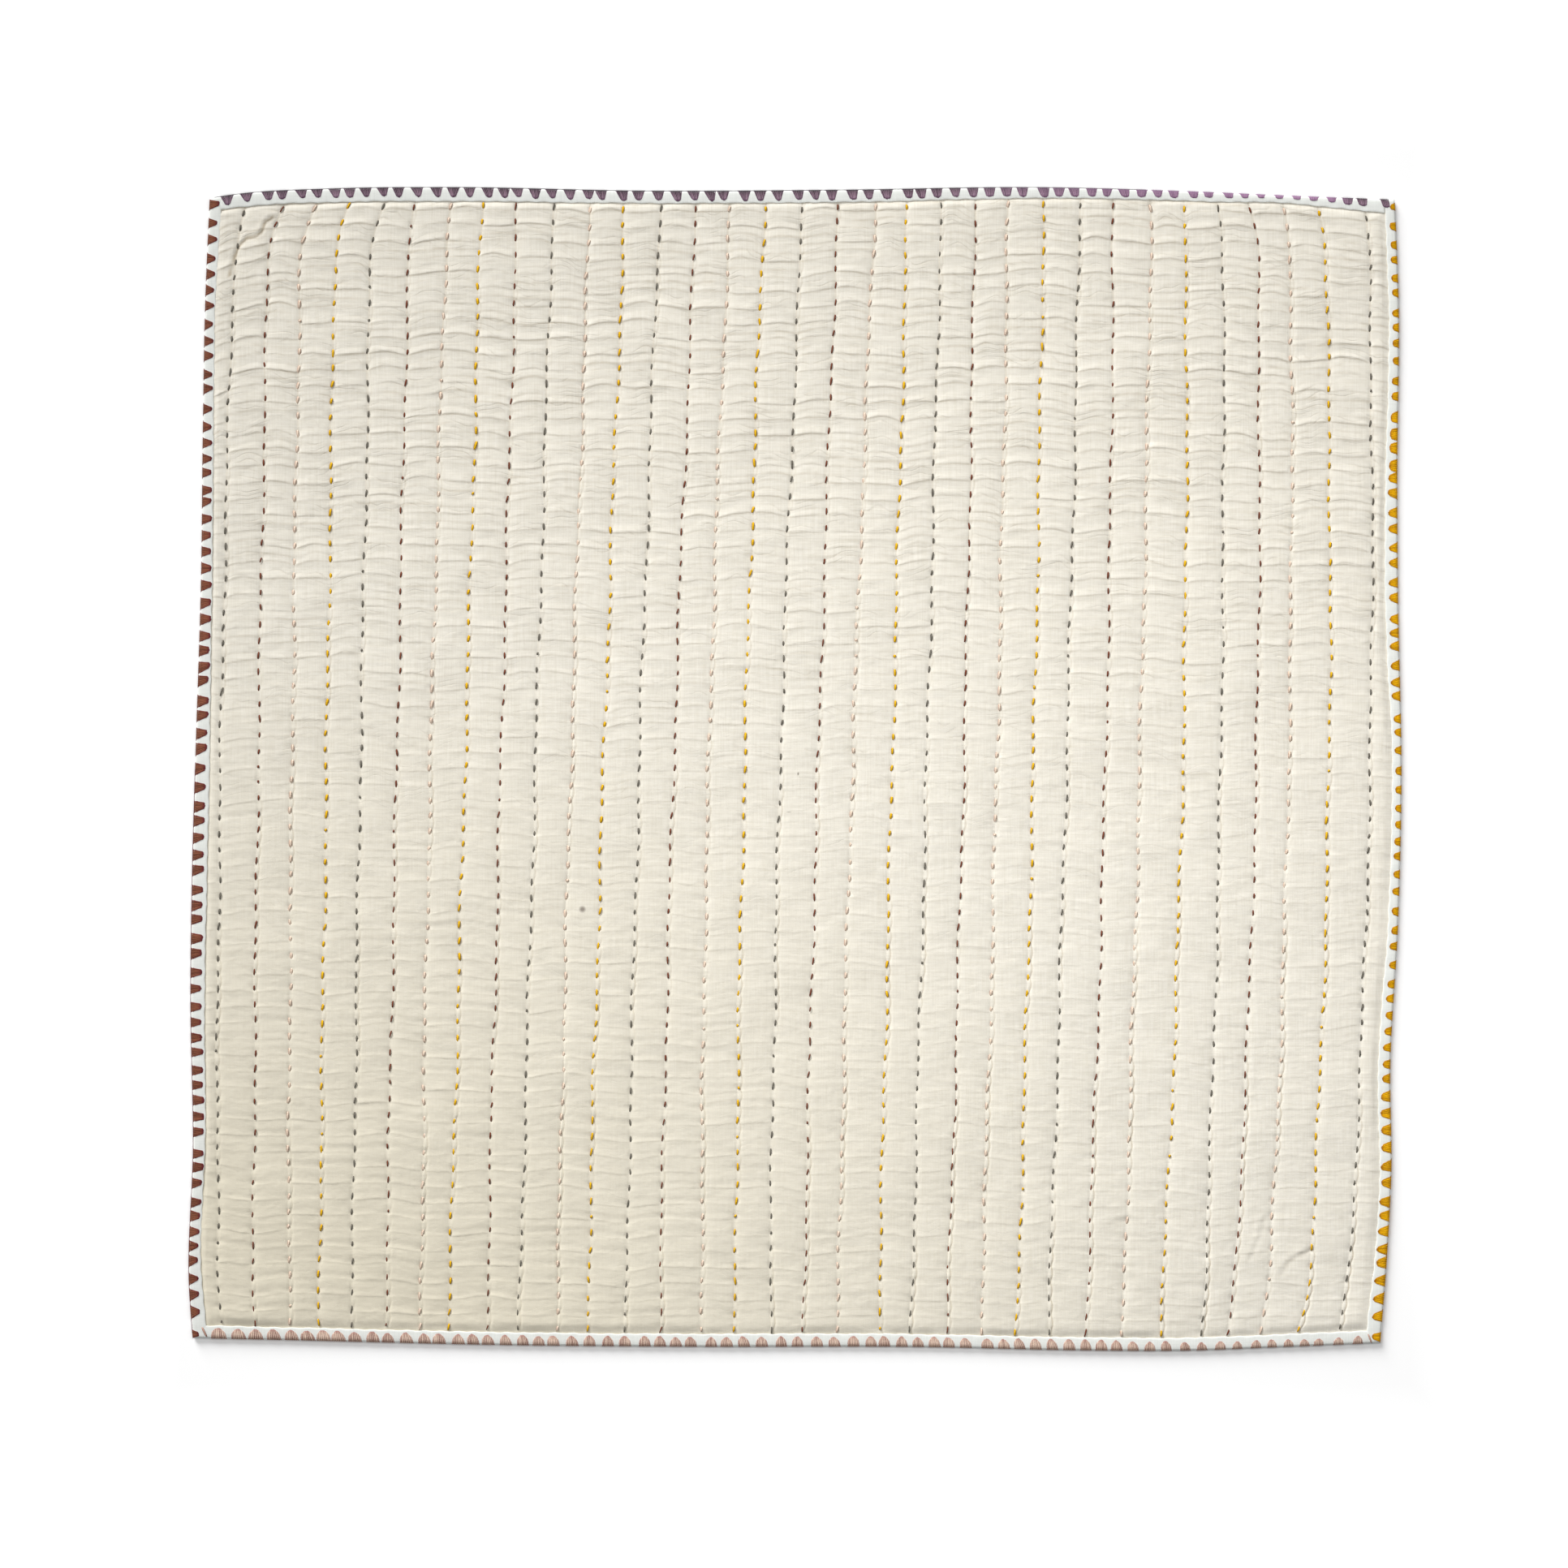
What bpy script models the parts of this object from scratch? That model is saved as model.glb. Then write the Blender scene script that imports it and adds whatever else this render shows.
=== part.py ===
"""Quilted cotton gauze baby blanket with a white binding, lying flat.

The blanket lies on Z = 0 with its face up. X runs across it and Y up it, as seen from above.
The origin is under the middle of its outline, at the surface it lies on.
One panel of cotton gauze layers is drawn into 34 soft channels by 33 rows of hand running stitch.
Four strips of white tape are folded over its edges; the side strips run the full height.
"""

import bmesh
import bpy
import numpy as np

MM = 0.001

# Outline, in mm: places along each edge, and how far out the edge lies there
EDGE_ROWS = {
    "left": (
        (446.0, -451.0),
        (359.0, -454.7),
        (255.0, -456.6),
        (143.0, -458.0),
        (30.0, -461.6),
        (-82.0, -464.8),
        (-176.0, -466.0),
        (-290.0, -464.1),
        (-396.0, -467.2),
        (-440.0, -464.2),
    ),
    "right": (
        (446.0, 460.0),
        (359.0, 463.3),
        (218.0, 462.2),
        (143.0, 462.7),
        (-20.0, 465.4),
        (-120.0, 462.8),
        (-232.0, 456.8),
        (-307.0, 457.7),
        (-378.0, 454.1),
        (-440.0, 449.2),
    ),
    "bottom": (
        (-467.0, -437.2),
        (-401.0, -438.5),
        (-226.0, -442.5),
        (-75.0, -443.8),
        (90.0, -443.9),
        (224.0, -446.6),
        (299.0, -446.8),
        (374.0, -444.0),
        (465.0, -440.2),
    ),
    "top": (
        (-467.0, 437.0),
        (-431.0, 442.7),
        (-356.0, 447.0),
        (-270.0, 448.0),
        (-113.0, 445.2),
        (37.0, 446.0),
        (187.0, 447.9),
        (299.0, 445.0),
        (387.0, 441.2),
        (465.0, 438.3),
    ),
}

# Rows of running stitch: place across the blanket, in mm, at three heights
STITCH_HEIGHTS = (405.0, 0.0, -395.0)
STITCH_LINES = (
    # near the top, in the middle, near the bottom
    (-434.5, -443.5, -445.5),
    (-407.5, -414.5, -419.0),
    (-383.0, -388.0, -393.0),
    (-357.0, -362.5, -369.0),
    (-328.0, -336.0, -344.0),
    (-299.5, -307.5, -315.5),
    (-270.5, -281.5, -288.5),
    (-244.5, -255.0, -266.5),
    (-217.0, -227.5, -237.5),
    (-189.5, -201.0, -212.5),
    (-161.0, -173.5, -183.5),
    (-134.5, -148.5, -160.0),
    (-107.5, -121.0, -130.5),
    (-79.5, -94.5, -104.5),
    (-53.5, -67.5, -73.0),
    (-27.0, -40.0, -47.0),
    (2.5, -12.5, -20.0),
    (29.5, 16.5, 6.0),
    (58.0, 43.0, 32.5),
    (83.5, 73.5, 64.0),
    (110.5, 100.0, 89.0),
    (137.0, 128.5, 117.0),
    (162.5, 154.0, 143.0),
    (189.5, 182.0, 170.5),
    (217.5, 207.5, 195.0),
    (243.5, 237.5, 224.0),
    (272.5, 264.0, 252.0),
    (299.5, 297.0, 282.0),
    (328.0, 326.0, 314.0),
    (354.5, 353.5, 337.0),
    (380.0, 378.5, 364.0),
    (406.5, 409.5, 394.5),
    (440.0, 441.0, 424.5),
)
TOP_HOOK = 9.0
TOP_HOOK_LINE = 3
FOOT_HOOK = -5.0
FOOT_HOOK_LINE = 31
HOOK_SPREAD = 4.0
HOOK_LENGTH = 38.0
LINE_WANDER = 0.9
WANDER_LENGTH = 17.0
SLOW_WANDER_LENGTH = 41.0

# Thicknesses and heights above the surface it lies on, in mm
TAPE = 0.8
GAP = 0.3
SEAM_LAYERS = 1.8
VALLEY_HEIGHT = 2.3
CROWN_HEIGHT = 4.7
CROWN_VARIATION = 0.33
CROWN_LENGTH = 63.0
CROWN_SHORT_LENGTH = 29.0
CROWN_DRIFT = 90.0
PUCKER_RISE = 0.35

# Binding
BINDING_WIDTH = 10.0
FOLD_STEPS = 6
STRIP_STEPS = 36

# Grid of the panel's face: beyond the outer stitch rows are a halfway column, one beside the
# binding and one at the seam's edge
CELLS_IN_CHANNEL = 3
CELLS_IN_MARGIN = 3
CHANNEL_SHOULDER = 0.27
ROWS = 38
SLOPE_WIDTH = 4.0

# Clearances of the panel inside the binding, in mm
FOLD_CLEARANCE = 0.1
FLAP_CLEARANCE = 0.4

FOLD_RADIUS = GAP + 0.5 * (SEAM_LAYERS + TAPE)
BLANKET_EDGE_THICKNESS = 2.0 * FOLD_RADIUS + TAPE
SEAM_BOTTOM = TAPE + GAP
SEAM_TOP = SEAM_BOTTOM + SEAM_LAYERS
SEAM_INSET = 0.5 * BLANKET_EDGE_THICKNESS + FOLD_CLEARANCE
PANEL_INSET = BINDING_WIDTH + FLAP_CLEARANCE
BASE_INSET = PANEL_INSET + FLAP_CLEARANCE

# Passes for a point whose x depends on its y and the other way round
PASSES = 4


def smooth_curve(place, offset, at):
    """Cubic curve through the offsets at the given places, with the mean slope at each one."""
    order = np.argsort(place)
    place = np.asarray(place)[order]
    offset = np.asarray(offset)[order]
    slope = np.gradient(offset, place)
    at = np.clip(at, place[0], place[-1])
    index = np.clip(np.searchsorted(place, at) - 1, 0, len(place) - 2)
    step = place[index + 1] - place[index]
    t = (at - place[index]) / step
    start = offset[index] * (1 + 2 * t) * (1 - t) ** 2
    end = offset[index + 1] * t * t * (3 - 2 * t)
    turn = step * t * (1 - t) * (slope[index] * (1 - t) - slope[index + 1] * t)
    return start + end + turn


def outermost(side, pick):
    """Outermost place of an edge's curve, as np.min or np.max picks it."""
    along, offset = np.array(EDGE_ROWS[side]).T
    return pick(smooth_curve(along, offset, np.linspace(along.min(), along.max(), 200)))


MIDDLE_X = 0.5 * (outermost("left", np.min) + outermost("right", np.max))
MIDDLE_Y = 0.5 * (outermost("bottom", np.min) + outermost("top", np.max))


def edge(side, at):
    """Place of an edge at places along it, both from the middle of the outline's box."""
    along, offset = np.array(EDGE_ROWS[side]).T
    if side in ("left", "right"):
        return smooth_curve(along, offset, at + MIDDLE_Y) - MIDDLE_X
    return smooth_curve(along, offset, at + MIDDLE_X) - MIDDLE_Y


def inset_point(across, up, inset):
    """Point at fractions across and up the outline, after it is drawn in by the inset."""
    x = across * edge("right", 0.0) + (1 - across) * edge("left", 0.0)
    y = np.zeros_like(x)
    for _ in range(PASSES):
        low = edge("bottom", x) + inset
        high = edge("top", x) - inset
        y = low + up * (high - low)
        left = edge("left", y) + inset
        right = edge("right", y) - inset
        x = left + across * (right - left)
    return x, y


def stitch_line_x(line, y):
    """Place of a row of stitches: a parabola through its three readings, hooked at its ends."""
    high, middle, low = np.array(STITCH_HEIGHTS) - MIDDLE_Y
    x_high, x_middle, x_low = np.array(STITCH_LINES[line]) - MIDDLE_X
    x = (
        x_high * (y - middle) * (y - low) / ((high - middle) * (high - low))
        + x_middle * (y - high) * (y - low) / ((middle - high) * (middle - low))
        + x_low * (y - high) * (y - middle) / ((low - high) * (low - middle))
    )
    number = line + 1
    top_reach = np.clip((y - edge("top", 0.0) + HOOK_LENGTH) / HOOK_LENGTH, 0, 1)
    foot_reach = np.clip((edge("bottom", 0.0) + HOOK_LENGTH - y) / HOOK_LENGTH, 0, 1)
    top_share = np.exp(-(((number - TOP_HOOK_LINE) / HOOK_SPREAD) ** 2))
    foot_share = np.exp(-(((number - FOOT_HOOK_LINE) / HOOK_SPREAD) ** 2))
    hook = TOP_HOOK * top_share * top_reach**2 + FOOT_HOOK * foot_share * foot_reach**2
    wander = np.sin(y / WANDER_LENGTH + 2.4 * number)
    wander = wander + 0.6 * np.sin(y / SLOW_WANDER_LENGTH + 4.1 * number)
    return x + hook + LINE_WANDER * wander


def crown_height(column, x, y):
    """Top of a channel: a little uneven from channel to channel and along each one."""
    uneven = np.sin(y / CROWN_LENGTH + 1.9 * column)
    uneven = uneven + 0.7 * np.sin(y / CROWN_SHORT_LENGTH + x / CROWN_DRIFT + 0.8 * column)
    return CROWN_HEIGHT + CROWN_VARIATION * uneven


def new_object(name, mesh, material_name, colour, roughness):
    """Object for one sub-part, in the blanket's collection, with a material of its own."""
    material = bpy.data.materials.new(material_name)
    material.use_nodes = True
    shader = material.node_tree.nodes["Principled BSDF"]
    shader.inputs["Base Color"].default_value = (*colour, 1.0)
    shader.inputs["Roughness"].default_value = roughness
    shader.inputs["Metallic"].default_value = 0.0
    mesh.materials.append(material)
    piece = bpy.data.objects.new(name, mesh)
    bpy.data.collections["baby_blanket"].objects.link(piece)
    return piece


def grid_mesh(columns, rows):
    """Flat grid of the given numbers of cells, and each vertex's column and row number."""
    grid = bmesh.new()
    bmesh.ops.create_grid(grid, x_segments=columns, y_segments=rows, size=0.5)
    flat = np.array([vertex.co for vertex in grid.verts])
    column = np.rint((flat[:, 0] + 0.5) * columns).astype(int)
    row = np.rint((flat[:, 1] + 0.5) * rows).astype(int)
    return grid, column, row


def place_vertices(vertices, x, y, z):
    """Put the vertices at the given places, from mm to metres."""
    for vertex, place in zip(vertices, np.stack([x, y, z], axis=1) * MM):
        vertex.co = place


def build_panel():
    """The quilted panel: channels between the stitch rows, and a flat seam inside the binding."""
    stitch_columns = CELLS_IN_MARGIN + CELLS_IN_CHANNEL * np.arange(len(STITCH_LINES))
    columns = int(stitch_columns[-1]) + CELLS_IN_MARGIN
    face, column, row = grid_mesh(columns, ROWS)

    # Rows: the seam, the slope beside the binding, then even steps
    seam_fraction = (PANEL_INSET - SEAM_INSET) / (edge("top", 0.0) - edge("bottom", 0.0))
    slope_fraction = seam_fraction * (1 + SLOPE_WIDTH / (PANEL_INSET - SEAM_INSET))
    inner = np.linspace(slope_fraction, 1 - slope_fraction, ROWS - 3)
    row_place = np.concatenate([[0, seam_fraction], inner, [1 - seam_fraction, 1]])
    up = row_place[row]

    # Columns: the seam, the slope, then each stitch row with two shoulders between
    half = np.full(len(row), 0.5)
    _, y = inset_point(half, up, SEAM_INSET)
    for _ in range(PASSES):
        left = edge("left", y)
        right = edge("right", y)
        lines = np.array([stitch_line_x(line, y) for line in range(len(STITCH_LINES))])
        shoulder = CHANNEL_SHOULDER * np.diff(lines, axis=0)
        channels = np.stack([lines[:-1] + shoulder, lines[1:] - shoulder, lines[1:]], axis=1)
        stations = np.vstack(
            [
                left + SEAM_INSET,
                left + PANEL_INSET,
                0.5 * (left + PANEL_INSET + lines[0]),
                lines[0],
                channels.reshape(-1, len(y)),
                0.5 * (right - PANEL_INSET + lines[-1]),
                right - PANEL_INSET,
                right - SEAM_INSET,
            ]
        )
        x = stations[column, np.arange(len(column))]
        low = edge("bottom", x) + SEAM_INSET
        high = edge("top", x) - SEAM_INSET
        y = low + up * (high - low)

    # Heights: crown between stitch rows, valley on them, level seam under the binding
    on_line = np.isin(column, stitch_columns)
    pucker = PUCKER_RISE * np.where(row % 2 == 0, 1, -1) * (1 + 0.5 * np.sin(0.9 * column + row))
    z = np.where(on_line, VALLEY_HEIGHT, crown_height(column // CELLS_IN_CHANNEL, x, y) + pucker)
    in_seam = (column <= 1) | (column >= columns - 1) | (row <= 1) | (row >= ROWS - 1)
    z = np.where(in_seam, SEAM_TOP, z)
    place_vertices(face.verts, x, y, z)

    # Underside: down the seam's edge, in to the binding's edge, down and across
    across_seam = (x - edge("left", y) - SEAM_INSET) / (
        edge("right", y) - edge("left", y) - 2 * SEAM_INSET
    )
    up_seam = (y - edge("bottom", x) - SEAM_INSET) / (
        edge("top", x) - edge("bottom", x) - 2 * SEAM_INSET
    )
    fractions = face.verts.layers.float_vector.new("fractions")
    for vertex, across_share, up_share in zip(face.verts, across_seam, up_seam):
        vertex[fractions] = (across_share, up_share, 0.0)
    rim = [edge for edge in face.edges if edge.is_boundary]
    rings = ((SEAM_INSET, SEAM_BOTTOM), (PANEL_INSET, SEAM_BOTTOM), (BASE_INSET, 0.0))
    for inset, height in rings:
        grown = bmesh.ops.extrude_edge_only(face, edges=rim)["geom"]
        vertices = [item for item in grown if isinstance(item, bmesh.types.BMVert)]
        rim = [item for item in grown if isinstance(item, bmesh.types.BMEdge)]
        share = np.array([vertex[fractions] for vertex in vertices])
        ring_x, ring_y = inset_point(share[:, 0], share[:, 1], inset)
        place_vertices(vertices, ring_x, ring_y, np.full(len(vertices), height))
    bmesh.ops.contextual_create(face, geom=rim)
    face.verts.layers.float_vector.remove(fractions)
    bmesh.ops.recalc_face_normals(face, faces=face.faces)

    mesh = bpy.data.meshes.new("quilted_body")
    face.to_mesh(mesh)
    face.free()
    mesh.shade_smooth()
    new_object("quilted_body", mesh, "cream_cotton_gauze", (0.80, 0.75, 0.65), 0.95)


def folded_profile():
    """Middle of the folded tape's thickness: inset from the edge and height, top flap first."""
    turn = np.linspace(0.5 * np.pi, 1.5 * np.pi, FOLD_STEPS + 1)
    centre = 0.5 * BLANKET_EDGE_THICKNESS
    fold_inset = centre + FOLD_RADIUS * np.cos(turn)
    fold_height = centre + FOLD_RADIUS * np.sin(turn)
    inset = np.concatenate([[BINDING_WIDTH], fold_inset, [BINDING_WIDTH]])
    height = np.concatenate([[fold_height[0]], fold_height, [fold_height[-1]]])
    return inset, height


def build_binding(side):
    """One strip of tape folded over an edge; top and bottom strips end at the side strips."""
    inset_row, height_row = folded_profile()
    strip, column, row = grid_mesh(STRIP_STEPS, len(inset_row) - 1)
    along = column / STRIP_STEPS
    inset = inset_row[row]
    height = height_row[row]
    if side in ("left", "right"):
        inward = 1 if side == "left" else -1
        y = np.zeros_like(along)
        for _ in range(PASSES):
            x = edge(side, y) + inward * inset
            low = edge("bottom", x)
            y = low + along * (edge("top", x) - low)
    else:
        inward = 1 if side == "bottom" else -1
        x = np.zeros_like(along)
        for _ in range(PASSES):
            y = edge(side, x) + inward * inset
            low = edge("left", y) + BINDING_WIDTH + GAP
            high = edge("right", y) - BINDING_WIDTH - GAP
            x = low + along * (high - low)
    place_vertices(strip.verts, x, y, height)
    bmesh.ops.recalc_face_normals(strip, faces=strip.faces)
    mesh = bpy.data.meshes.new("binding_" + side)
    strip.to_mesh(mesh)
    strip.free()
    mesh.shade_smooth()
    piece = new_object("binding_" + side, mesh, "white_cotton_tape_" + side, (0.88, 0.89, 0.88), 0.9)
    thickness = piece.modifiers.new("tape_thickness", "SOLIDIFY")
    thickness.thickness = TAPE * MM
    thickness.offset = 0.0
    thickness.use_even_offset = True


def main():
    """Clear the scene and build the blanket's five pieces."""
    for old in list(bpy.data.objects):
        bpy.data.objects.remove(old, do_unlink=True)
    blanket = bpy.data.collections.new("baby_blanket")
    bpy.context.scene.collection.children.link(blanket)
    build_panel()
    for side in ("left", "right", "top", "bottom"):
        build_binding(side)


main()
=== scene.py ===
"""Looks of a quilted cotton gauze baby blanket that lies flat, face up, seen from straight above.

Sizes are in millimetres until they go into a mesh, where MM makes them metres. X runs across the
blanket, Y up it and Z out of its face. The origin is under its middle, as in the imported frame.
"""

import bpy
import numpy as np
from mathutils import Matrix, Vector


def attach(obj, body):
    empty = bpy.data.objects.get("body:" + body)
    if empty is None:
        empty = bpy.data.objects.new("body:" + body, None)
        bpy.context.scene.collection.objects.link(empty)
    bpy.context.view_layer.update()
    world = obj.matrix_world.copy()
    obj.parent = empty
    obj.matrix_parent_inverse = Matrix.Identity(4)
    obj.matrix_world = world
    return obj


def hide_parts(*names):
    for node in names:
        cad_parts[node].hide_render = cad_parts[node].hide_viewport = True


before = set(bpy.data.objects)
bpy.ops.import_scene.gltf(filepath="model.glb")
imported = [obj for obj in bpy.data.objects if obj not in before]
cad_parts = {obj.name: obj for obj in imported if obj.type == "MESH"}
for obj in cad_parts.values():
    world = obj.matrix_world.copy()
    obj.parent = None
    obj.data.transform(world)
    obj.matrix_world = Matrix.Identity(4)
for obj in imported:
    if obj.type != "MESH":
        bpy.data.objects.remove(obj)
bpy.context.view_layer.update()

# Studio: a plain white floor under the blanket and a camera straight above it with a long lens.
# A low soft light comes from the upper left, with an even surround and a broad light overhead. The
# floor glows a little, more at the left and away from the blanket, so that it shows evenly white.
MM = 0.001
VIEW_WIDTH = 1207.5
VIEW_CENTRE = (-8.5, -11.5)
LENS = 85.0
SENSOR = 36.0
FLOOR_SIZE = 16000.0
FLOOR_COLOUR = (0.9, 0.9, 0.9)
GLOW_LEFT = 0.145
GLOW_RIGHT = 0.07
GLOW_RISE = 0.25
GLOW_REACH = (0.473, 0.6)
GLOW_SPAN = (-0.5, 0.5)
SURROUND_STRENGTH = 0.22
LOW_LIGHT_FROM = (-0.55, 1.0, 0.47)
LOW_LIGHT_STRENGTH = 4.4
LOW_LIGHT_ANGLE = 32.0
OVERHEAD_PLACE = (130.0, 30.0, 1000.0)
OVERHEAD_SIZE = (900.0, 300.0)
OVERHEAD_WATTS = 4.8


def set_inputs(tree, node, inputs):
    """Set inputs of a node to values, or link them to sockets."""
    for name, value in inputs.items():
        if isinstance(value, bpy.types.NodeSocket):
            tree.links.new(value, node.inputs[name])
        else:
            node.inputs[name].default_value = value


def add_node(tree, kind, inputs=None, **settings):
    """Node of a kind, with its settings, and its inputs set to values or linked to sockets."""
    node = tree.nodes.new(kind)
    for name, value in settings.items():
        setattr(node, name, value)
    set_inputs(tree, node, inputs or {})
    return node


def arithmetic(tree, operation, first, second=0.0, third=0.0):
    """Output of a Math node."""
    node = add_node(tree, "ShaderNodeMath", {0: first, 1: second, 2: third}, operation=operation)
    return node.outputs[0]


def map_range(tree, value, start, end, least=0.0, most=1.0):
    """Output that goes from least to most as the value goes from start to end, and no further."""
    limits = {"Value": value, "From Min": start, "From Max": end, "To Min": least, "To Max": most}
    return add_node(tree, "ShaderNodeMapRange", limits).outputs[0]


def separate(tree, vector):
    """Outputs X, Y and Z of a vector."""
    return add_node(tree, "ShaderNodeSeparateXYZ", {0: vector}).outputs


def new_material(name, values):
    """Material, its node tree and its Principled shader, with values for the shader's inputs."""
    material = bpy.data.materials.new(name)
    material.use_nodes = True
    shader = material.node_tree.nodes["Principled BSDF"]
    set_inputs(material.node_tree, shader, values)
    return material, material.node_tree, shader


def new_object(name, data, place=(0.0, 0.0, 0.0)):
    """Object that shows, at a place in metres."""
    shown = bpy.data.objects.new(name, data)
    shown.location = place
    bpy.context.scene.collection.objects.link(shown)
    return shown


camera_data = bpy.data.cameras.new("camera")
camera_data.lens = LENS
camera_data.sensor_width = SENSOR
camera_place = Vector((*VIEW_CENTRE, VIEW_WIDTH * LENS / SENSOR)) * MM
bpy.context.scene.camera = new_object("camera", camera_data, camera_place)
bpy.context.scene.view_settings.view_transform = "Standard"

low_light_data = bpy.data.lights.new("low_light", "SUN")
low_light_data.energy = LOW_LIGHT_STRENGTH
low_light_data.angle = np.radians(LOW_LIGHT_ANGLE)
low_light = new_object("low_light", low_light_data, LOW_LIGHT_FROM)
low_light.rotation_euler = Vector(LOW_LIGHT_FROM).to_track_quat("Z", "Y").to_euler()

overhead_data = bpy.data.lights.new("overhead", "AREA")
overhead_data.shape = "RECTANGLE"
overhead_data.size = OVERHEAD_SIZE[0] * MM
overhead_data.size_y = OVERHEAD_SIZE[1] * MM
overhead_data.energy = OVERHEAD_WATTS
new_object("overhead", overhead_data, Vector(OVERHEAD_PLACE) * MM)

surround = bpy.data.worlds.new("surround")
surround.use_nodes = True
surround_light = surround.node_tree.nodes["Background"]
surround_values = {"Color": (1.0, 1.0, 1.0, 1.0), "Strength": SURROUND_STRENGTH}
set_inputs(surround.node_tree, surround_light, surround_values)
bpy.context.scene.world = surround

floor_half = 0.5 * FLOOR_SIZE * MM
floor_corners = [(x * floor_half, y * floor_half, 0.0) for x, y in ((-1, -1), (1, -1), (1, 1), (-1, 1))]
floor_mesh = bpy.data.meshes.new("studio_floor")
floor_mesh.from_pydata(floor_corners, [], [(0, 1, 2, 3)])
floor_material, floor_tree, floor_shader = new_material(
    "studio_floor", {"Base Color": (*FLOOR_COLOUR, 1.0), "Roughness": 0.9, "Emission Strength": 1.0}
)
floor_parts = separate(floor_tree, add_node(floor_tree, "ShaderNodeTexCoord").outputs["Object"])
floor_sides = [arithmetic(floor_tree, "ABSOLUTE", floor_parts[axis]) for axis in ("X", "Y")]
floor_from_middle = arithmetic(floor_tree, "MAXIMUM", *floor_sides)
side_glow = map_range(floor_tree, floor_parts["X"], *GLOW_SPAN, GLOW_LEFT, GLOW_RIGHT)
outer_glow = map_range(floor_tree, floor_from_middle, *GLOW_REACH, 0.0, GLOW_RISE)
floor_glow = arithmetic(floor_tree, "ADD", side_glow, outer_glow)
set_inputs(floor_tree, floor_shader, {"Emission Color": floor_glow})
floor_mesh.materials.append(floor_material)
studio_floor = new_object("studio_floor", floor_mesh)

# Quilt face: the upper side of a panel of cotton gauze layers, drawn into 34 soft channels by 33
# rows of running stitch. Creases run across the channels from stitch to stitch.
ROW_WANDER = 0.7
# places along each edge, and how far out the edge lies there
EDGE_ROWS = {
    "left": (
        (446.0, -451.0), (359.0, -454.7), (255.0, -456.6), (143.0, -458.0), (30.0, -461.6),
        (-82.0, -464.8), (-176.0, -466.0), (-290.0, -464.1), (-396.0, -467.2), (-440.0, -464.2),
    ),
    "right": (
        (446.0, 460.0), (359.0, 463.3), (218.0, 462.2), (143.0, 462.7), (-20.0, 465.4), (-120.0, 462.8),
        (-232.0, 456.8), (-307.0, 457.7), (-378.0, 454.1), (-440.0, 449.2),
    ),
    "bottom": (
        (-467.0, -437.2), (-401.0, -438.5), (-226.0, -442.5), (-75.0, -443.8), (90.0, -443.9),
        (224.0, -446.6), (299.0, -446.8), (374.0, -444.0), (465.0, -440.2),
    ),
    "top": (
        (-467.0, 437.0), (-431.0, 442.7), (-356.0, 447.0), (-270.0, 448.0), (-113.0, 445.2),
        (37.0, 446.0), (187.0, 447.9), (299.0, 445.0), (387.0, 441.2), (465.0, 438.3),
    ),
}
FIRST_ROW_X = -450.0
ROW_SPACING = 27.0
STITCH_HEIGHTS = (405.0, 0.0, -395.0)
# thread, and the row's place near the top, in the middle and near the bottom
STITCH_ROWS = (
    ("grey", -432.0, -443.0, -445.0), ("brown", -406.0, -414.0, -417.8),
    ("blush", -381.2, -388.0, -390.5), ("mustard", -355.0, -361.5, -367.0),
    ("grey", -327.0, -335.5, -341.5), ("brown", -298.3, -307.5, -315.5),
    ("blush", -269.3, -281.5, -288.5), ("mustard", -243.3, -255.0, -266.5),
    ("brown", -215.8, -227.5, -237.5), ("grey", -188.3, -201.0, -212.5),
    ("blush", -159.8, -173.5, -183.5), ("mustard", -133.3, -148.5, -160.0),
    ("grey", -106.3, -121.0, -130.5), ("brown", -78.3, -94.5, -104.5), ("blush", -52.3, -67.5, -73.0),
    ("mustard", -25.8, -40.0, -47.0), ("grey", 3.7, -12.5, -20.0), ("brown", 30.7, 16.5, 6.0),
    ("blush", 59.2, 43.0, 32.5), ("mustard", 84.7, 73.5, 64.0), ("grey", 110.5, 100.0, 89.0),
    ("brown", 137.0, 128.5, 117.0), ("blush", 162.5, 154.0, 143.0), ("mustard", 189.5, 182.0, 170.5),
    ("grey", 217.5, 207.5, 195.0), ("brown", 243.5, 237.5, 224.0), ("blush", 272.5, 264.0, 252.0),
    ("mustard", 299.5, 297.0, 282.0), ("grey", 328.0, 326.0, 314.0), ("brown", 354.5, 353.5, 337.0),
    ("blush", 380.0, 378.5, 364.0), ("mustard", 406.5, 409.5, 394.5), ("grey", 440.0, 441.0, 424.5),
)
# end of the rows, row hooked most, how many rows it spreads over, reach to the right, length
HOOKS = (
    ("top", 3.3, 3.0, 18.0, 60.0), ("top", 30.5, 2.2, -9.0, 50.0), ("bottom", 0.5, 2.0, 5.0, 60.0),
    ("bottom", 31.8, 1.9, -9.0, 70.0),
)
# places along each side, and how wide the tape shows there
TAPE_WIDTHS = {
    "left": (
        (-440.0, 11.4), (-340.0, 9.0), (-270.0, 9.8), (-60.0, 11.6), (20.0, 10.8), (93.0, 9.4),
        (300.0, 8.2), (370.0, 8.2), (440.0, 9.6),
    ),
    "right": (
        (-440.0, 11.4), (-345.0, 9.0), (-270.0, 9.4), (-60.0, 7.4), (20.0, 7.2), (93.0, 9.6),
        (300.0, 8.0), (440.0, 7.8),
    ),
    "bottom": ((-460.0, 9.8), (460.0, 9.8)),
    "top": (
        (-460.0, 10.2), (-300.0, 10.8), (-113.0, 9.6), (137.0, 9.0), (262.0, 7.5), (306.0, 7.6),
        (385.0, 6.3), (417.0, 8.2), (449.0, 10.4),
    ),
}
ROWS = len(STITCH_ROWS)
SEAM_INSET = 4.0
SEAM_TOP = 3.0
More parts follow.
